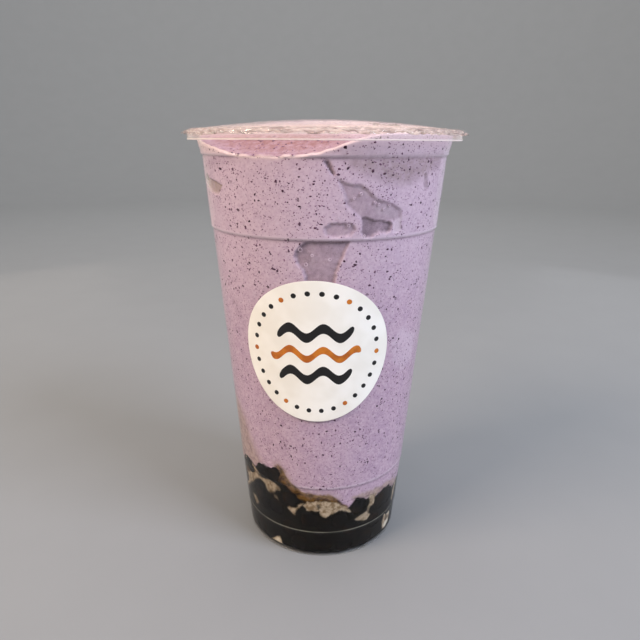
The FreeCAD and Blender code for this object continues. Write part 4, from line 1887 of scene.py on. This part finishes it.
@dataclass
class Sticker:
    """The round sticker, wrapped on the wall, with plain waves inside a ring of dots."""

    cup: Cup
    diameter: float = 50.8
    azimuth: float = -4.0
    gap: float = 12.5
    thickness: float = 0.13
    ink_thickness: float = 0.012
    dot_ring: float = 21.2
    dots: int = 30
    dot_radius: float = 0.85
    wave_length: float = 11.0
    wave_rise: float = 1.7
    columns: int = 160
    crisp: float = 0.06

    @property
    def centre(self) -> float:
        """Height of the sticker's middle."""
        return self.cup.stack_ring - self.gap - self.diameter / 2

    def wrap(self, across: Array, up: Array, proud: Array) -> Array:
        """Lays points of the flat sticker on the wall.

        Distance across becomes arc length at the height of the middle, and distance up follows
        the wall's slope.

        Args:
            across: Distances to the right of the middle.
            up: Distances above the middle.
            proud: Distances out from the wall.

        Returns:
            Points in the cup's frame.
        """
        curl = float(self.cup.outside(np.array(self.centre)))
        ends = self.cup.outside(np.array([self.centre - 10.0, self.centre + 10.0]))
        slope = math.cos(math.atan((ends[1] - ends[0]) / 20.0))
        height = self.centre + up * slope
        turn = self.azimuth + np.degrees(across / curl)
        return on_cup(turn, self.cup.outside(height) + proud, height)

    def disc(
        self, name: str, middle: Pair, radius: float, span: Pair,
        rows: int, columns: int,
    ) -> Piece:
        """Makes a thin round plate on the wall.

        Args:
            name: Name of the piece.
            middle: Its middle on the flat sticker.
            radius: Its radius.
            span: How far its back and its face stand out from the wall.
            rows: How many rings each side has.
            columns: How many vertices each ring has.

        Returns:
            The new object.
        """
        angle = np.arange(columns)[None, :] * 2 * math.pi / columns
        reach = np.append(np.linspace(0.0, radius - self.crisp, rows)[1:], radius)[:, None]
        reach = np.concatenate([reach, reach[::-1]])
        proud = np.repeat(np.array(span), rows)[:, None] + 0.0 * angle
        across = middle[0] + reach * np.cos(angle)
        up = middle[1] + reach * np.sin(angle)
        rings = self.wrap(across, up, proud)
        ends = self.wrap(np.full(2, middle[0]), np.full(2, middle[1]), np.array(span))
        return ring_piece(name, ends[0], rings, ends[1])

    def wave(self, name: str, level: float, half: float, weight: float) -> Piece:
        """Makes a wavy bar with round ends, the sine of the distance across.

        Args:
            name: Name of the piece.
            level: Height of its middle line on the flat sticker.
            half: Half its length.
            weight: Its thickness up and down.

        Returns:
            The new object.
        """
        along = half * np.sin(np.linspace(-math.pi / 2, math.pi / 2, 150))[1:-1, None]
        line = level + self.wave_rise * np.sin(2 * math.pi * along / self.wave_length)
        end = weight / 2
        taper = np.sqrt(np.clip(1.0 - (np.maximum(np.abs(along) - half + end, 0.0) / end) ** 2, 0, 1))
        near = 1.0 - self.crisp / end
        sides = np.array([-1.0, -near, near, 1.0, 1.0, near, -near, -1.0])[None, :] * end
        face, back = self.thickness + self.ink_thickness, self.thickness - 0.03
        proud = np.array([face] * 4 + [back] * 4)[None, :] + 0.0 * along
        rings = self.wrap(along + 0.0 * sides, line + sides * taper, proud)
        ends = np.array([-half, half])
        tips = self.wrap(
            ends, level + self.wave_rise * np.sin(2 * math.pi * ends / self.wave_length),
            np.full(2, self.thickness),
        )
        return ring_piece(name, tips[0], rings, tips[1])

    def build(self, paper: Material, inks: dict[Ink, Material]) -> None:
        """Builds the paper, the ring of dots and the three waves.

        Args:
            paper: The sticker's paper.
            inks: A material for each ink.
        """
        span = (0.006, self.thickness)
        sheet = self.disc("sticker_sheet", (0.0, 0.0), self.diameter / 2, span, 24, self.columns)
        seat(sheet, paper, "label")
        waves = (
            ("wave_upper", Ink.BLACK, 7.6, 12.6, 3.4),
            ("wave_middle", Ink.ORANGE, 0.0, 15.4, 2.6),
            ("wave_lower", Ink.BLACK, -7.6, 12.6, 3.4),
        )
        for name, ink, level, half, weight in waves:
            seat(self.wave(name, level, half, weight), inks[ink])
        ink_span = (self.thickness - 0.03, self.thickness + self.ink_thickness)
        for place in range(self.dots):
            angle = 2 * math.pi * place / self.dots
            middle = (self.dot_ring * math.cos(angle), self.dot_ring * math.sin(angle))
            dot = self.disc(f"dot_{place:02d}", middle, self.dot_radius, ink_span, 2, 20)
            seat(dot, inks[Ink.ORANGE if place % 5 == 0 else Ink.BLACK])


# ------------------------------
# The studio
# ------------------------------


@dataclass(frozen=True)
class Softbox:
    """A rectangular lamp that points at its target."""

    name: str
    place: Triple
    size: Pair
    radiance: float
    colour: str
    target: Triple = (0.0, 0.0, 0.085)

    def build(self) -> None:
        """Hangs the lamp so that it faces its target."""
        light = bpy.data.lights.new(self.name, "AREA")
        light.shape = "RECTANGLE"
        light.size, light.size_y = self.size
        light.energy = self.radiance * math.pi * self.size[0] * self.size[1]
        light.color = linear(self.colour)[:3]
        lamp = bpy.data.objects.new(self.name, light)
        back = np.array(self.place) - np.array(self.target)
        back /= np.linalg.norm(back)
        right = np.cross((0.0, 0.0, 1.0), back)
        right /= np.linalg.norm(right)
        up = np.cross(back, right)
        turn = np.eye(4)
        turn[:3, 0], turn[:3, 1], turn[:3, 2], turn[:3, 3] = right, up, back, self.place
        lamp.matrix_world = Matrix(turn.tolist())
        lamp.visible_camera = False
        bpy.context.scene.collection.objects.link(lamp)


@dataclass
class Studio:
    """Floor, lamps, pale surroundings and the camera."""

    bend_start: float = 1.3
    bend_radius: float = 0.9
    backdrop_top: float = 1.5
    eye: Triple = (0.0, -0.2058, 0.1529)
    pitch: float = 0.312
    roll: float = 0.006
    yaw: float = -0.006
    lens: float = 31.08
    sensor: float = 36.0
    sky_high: str = "#E8EAEC"
    sky_low: str = "#DADCDD"
    sky_strength: float = 1.0
    lamps: tuple[Softbox, ...] = (
        Softbox("key", (-0.56, -0.34, 0.60), (0.4, 0.4), 14.4, "#FFEDDC"),
        Softbox("fill", (0.60, -0.38, 0.60), (0.4, 0.4), 17.5, "#E2EBFF"),
        Softbox("edge_left", (-0.34, 0.42, 0.22), (0.2, 0.4), 0.3, "#FFEEDD"),
        Softbox("edge_right", (0.34, 0.42, 0.22), (0.2, 0.4), 0.3, "#F2F6FF"),
        Softbox("backdrop", (0.0, 0.5, 1.4), (1.6, 0.5), 8.0, "#FFFFFF", (0.0, 2.2, 0.7)),
    )

    def build_floor(self, finish: Material) -> None:
        """Lays the floor: a round sheet that runs level, then bends up in an arc and stands.

        Args:
            finish: The painted board.
        """
        angle = np.linspace(0.0, math.pi / 2, 21)
        bend = np.stack([np.sin(angle), 1.0 - np.cos(angle)], -1) * self.bend_radius
        bend += (self.bend_start, 0.0)
        level = np.stack([np.linspace(0.0, self.bend_start, 9)[:-1], np.zeros(8)], -1)
        path = np.concatenate([level, bend, [[bend[-1, 0], self.backdrop_top]]])[:, None]
        turn = np.linspace(-180.0, 180.0, 97)[None, :]
        points = on_cup(turn, path[..., 0], path[..., 1])
        row, column = np.meshgrid(np.arange(len(path) - 1), np.arange(96), indexing="ij")
        start = (row * 97 + column).ravel()
        quads = np.stack([start, start + 1, start + 98, start + 97], -1)
        mesh = bpy.data.meshes.new("floor")
        mesh.from_pydata(points.reshape(-1, 3).tolist(), [], quads.tolist())
        mesh.shade_smooth()
        mesh.materials.append(finish)
        floor = bpy.data.objects.new("floor", mesh)
        bpy.context.scene.collection.objects.link(floor)

    def build_sky(self) -> None:
        """Makes the pale surroundings, a little brighter above than at the horizon."""
        world = bpy.data.worlds.new("studio")
        world.use_nodes = True
        tree = world.node_tree
        tree.nodes.clear()
        way = add_node(tree, "ShaderNodeTexCoord").outputs["Generated"]
        parts = add_node(tree, "ShaderNodeSeparateXYZ", None, {0: way})
        share = ramp(tree, parts.outputs[2], 0.0, 0.7)
        colour = blend(tree, share, linear(self.sky_low), linear(self.sky_high))
        inputs = {"Color": colour, "Strength": self.sky_strength}
        sky = add_node(tree, "ShaderNodeBackground", None, inputs)
        add_node(tree, "ShaderNodeOutputWorld", None, {"Surface": sky.outputs[0]})
        bpy.context.scene.world = world

    def build_camera(self) -> None:
        """Sets up the camera from its eye point and its three small turns."""
        cp, sp, cy, sy = (
            math.cos(self.pitch), math.sin(self.pitch), math.cos(self.yaw), math.sin(self.yaw),
        )
        right = np.array([cy, -sy, 0.0])
        ahead = np.array([cp * sy, cp * cy, -sp])
        up = np.array([sp * sy, sp * cy, cp])
        cr, sr = math.cos(self.roll), math.sin(self.roll)
        turn = np.eye(4)
        turn[:3, 0] = right * cr + up * sr
        turn[:3, 1] = up * cr - right * sr
        turn[:3, 2] = -ahead
        turn[:3, 3] = self.eye
        data = bpy.data.cameras.new("camera")
        data.lens = self.lens
        data.sensor_width = self.sensor
        data.clip_start = 0.01
        camera = bpy.data.objects.new("camera", data)
        camera.matrix_world = Matrix(turn.tolist())
        bpy.context.scene.collection.objects.link(camera)
        bpy.context.scene.camera = camera

    def build(self) -> None:
        """Builds the whole studio."""
        self.build_floor(PAINTED_BOARD.material())
        self.build_sky()
        for lamp in self.lamps:
            lamp.build()
        self.build_camera()
        bpy.context.scene.view_settings.view_transform = "Standard"


def main() -> None:
    """Builds every piece around the frame."""
    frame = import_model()
    logging.basicConfig(level=logging.INFO, format="%(name)s: %(message)s")
    LOG.info("nodes of the frame: %s", ", ".join(sorted(frame["nodes"])))
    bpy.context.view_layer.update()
    Studio().build()

    cup = Cup.from_frame()
    film = SealingFilm.from_frame(cup)
    contents = Contents(cup, film.crown)
    pulp = BlendedUbe().material()
    cup.build(ClearMoulding().material())
    froth, sugar = MILK_FROTH.material(), BROWN_SUGAR.material()
    Smoothie(contents).build(pulp, UbeSkin().material(), froth, sugar)
    milk_and_glint = FOOT_RING_GLINT.material()
    PearlBed(contents).build(pulp, COOKED_TAPIOCA.material(), milk_and_glint)
    crimped = CRIMPED_FILM.material()
    film.build(DOME_FILM.material(), crimped)
    inks = {ink: ink.value.material() for ink in Ink}
    Sticker(cup).build(STICKER_PAPER.material(), inks)


if __name__ == "__main__":
    main()
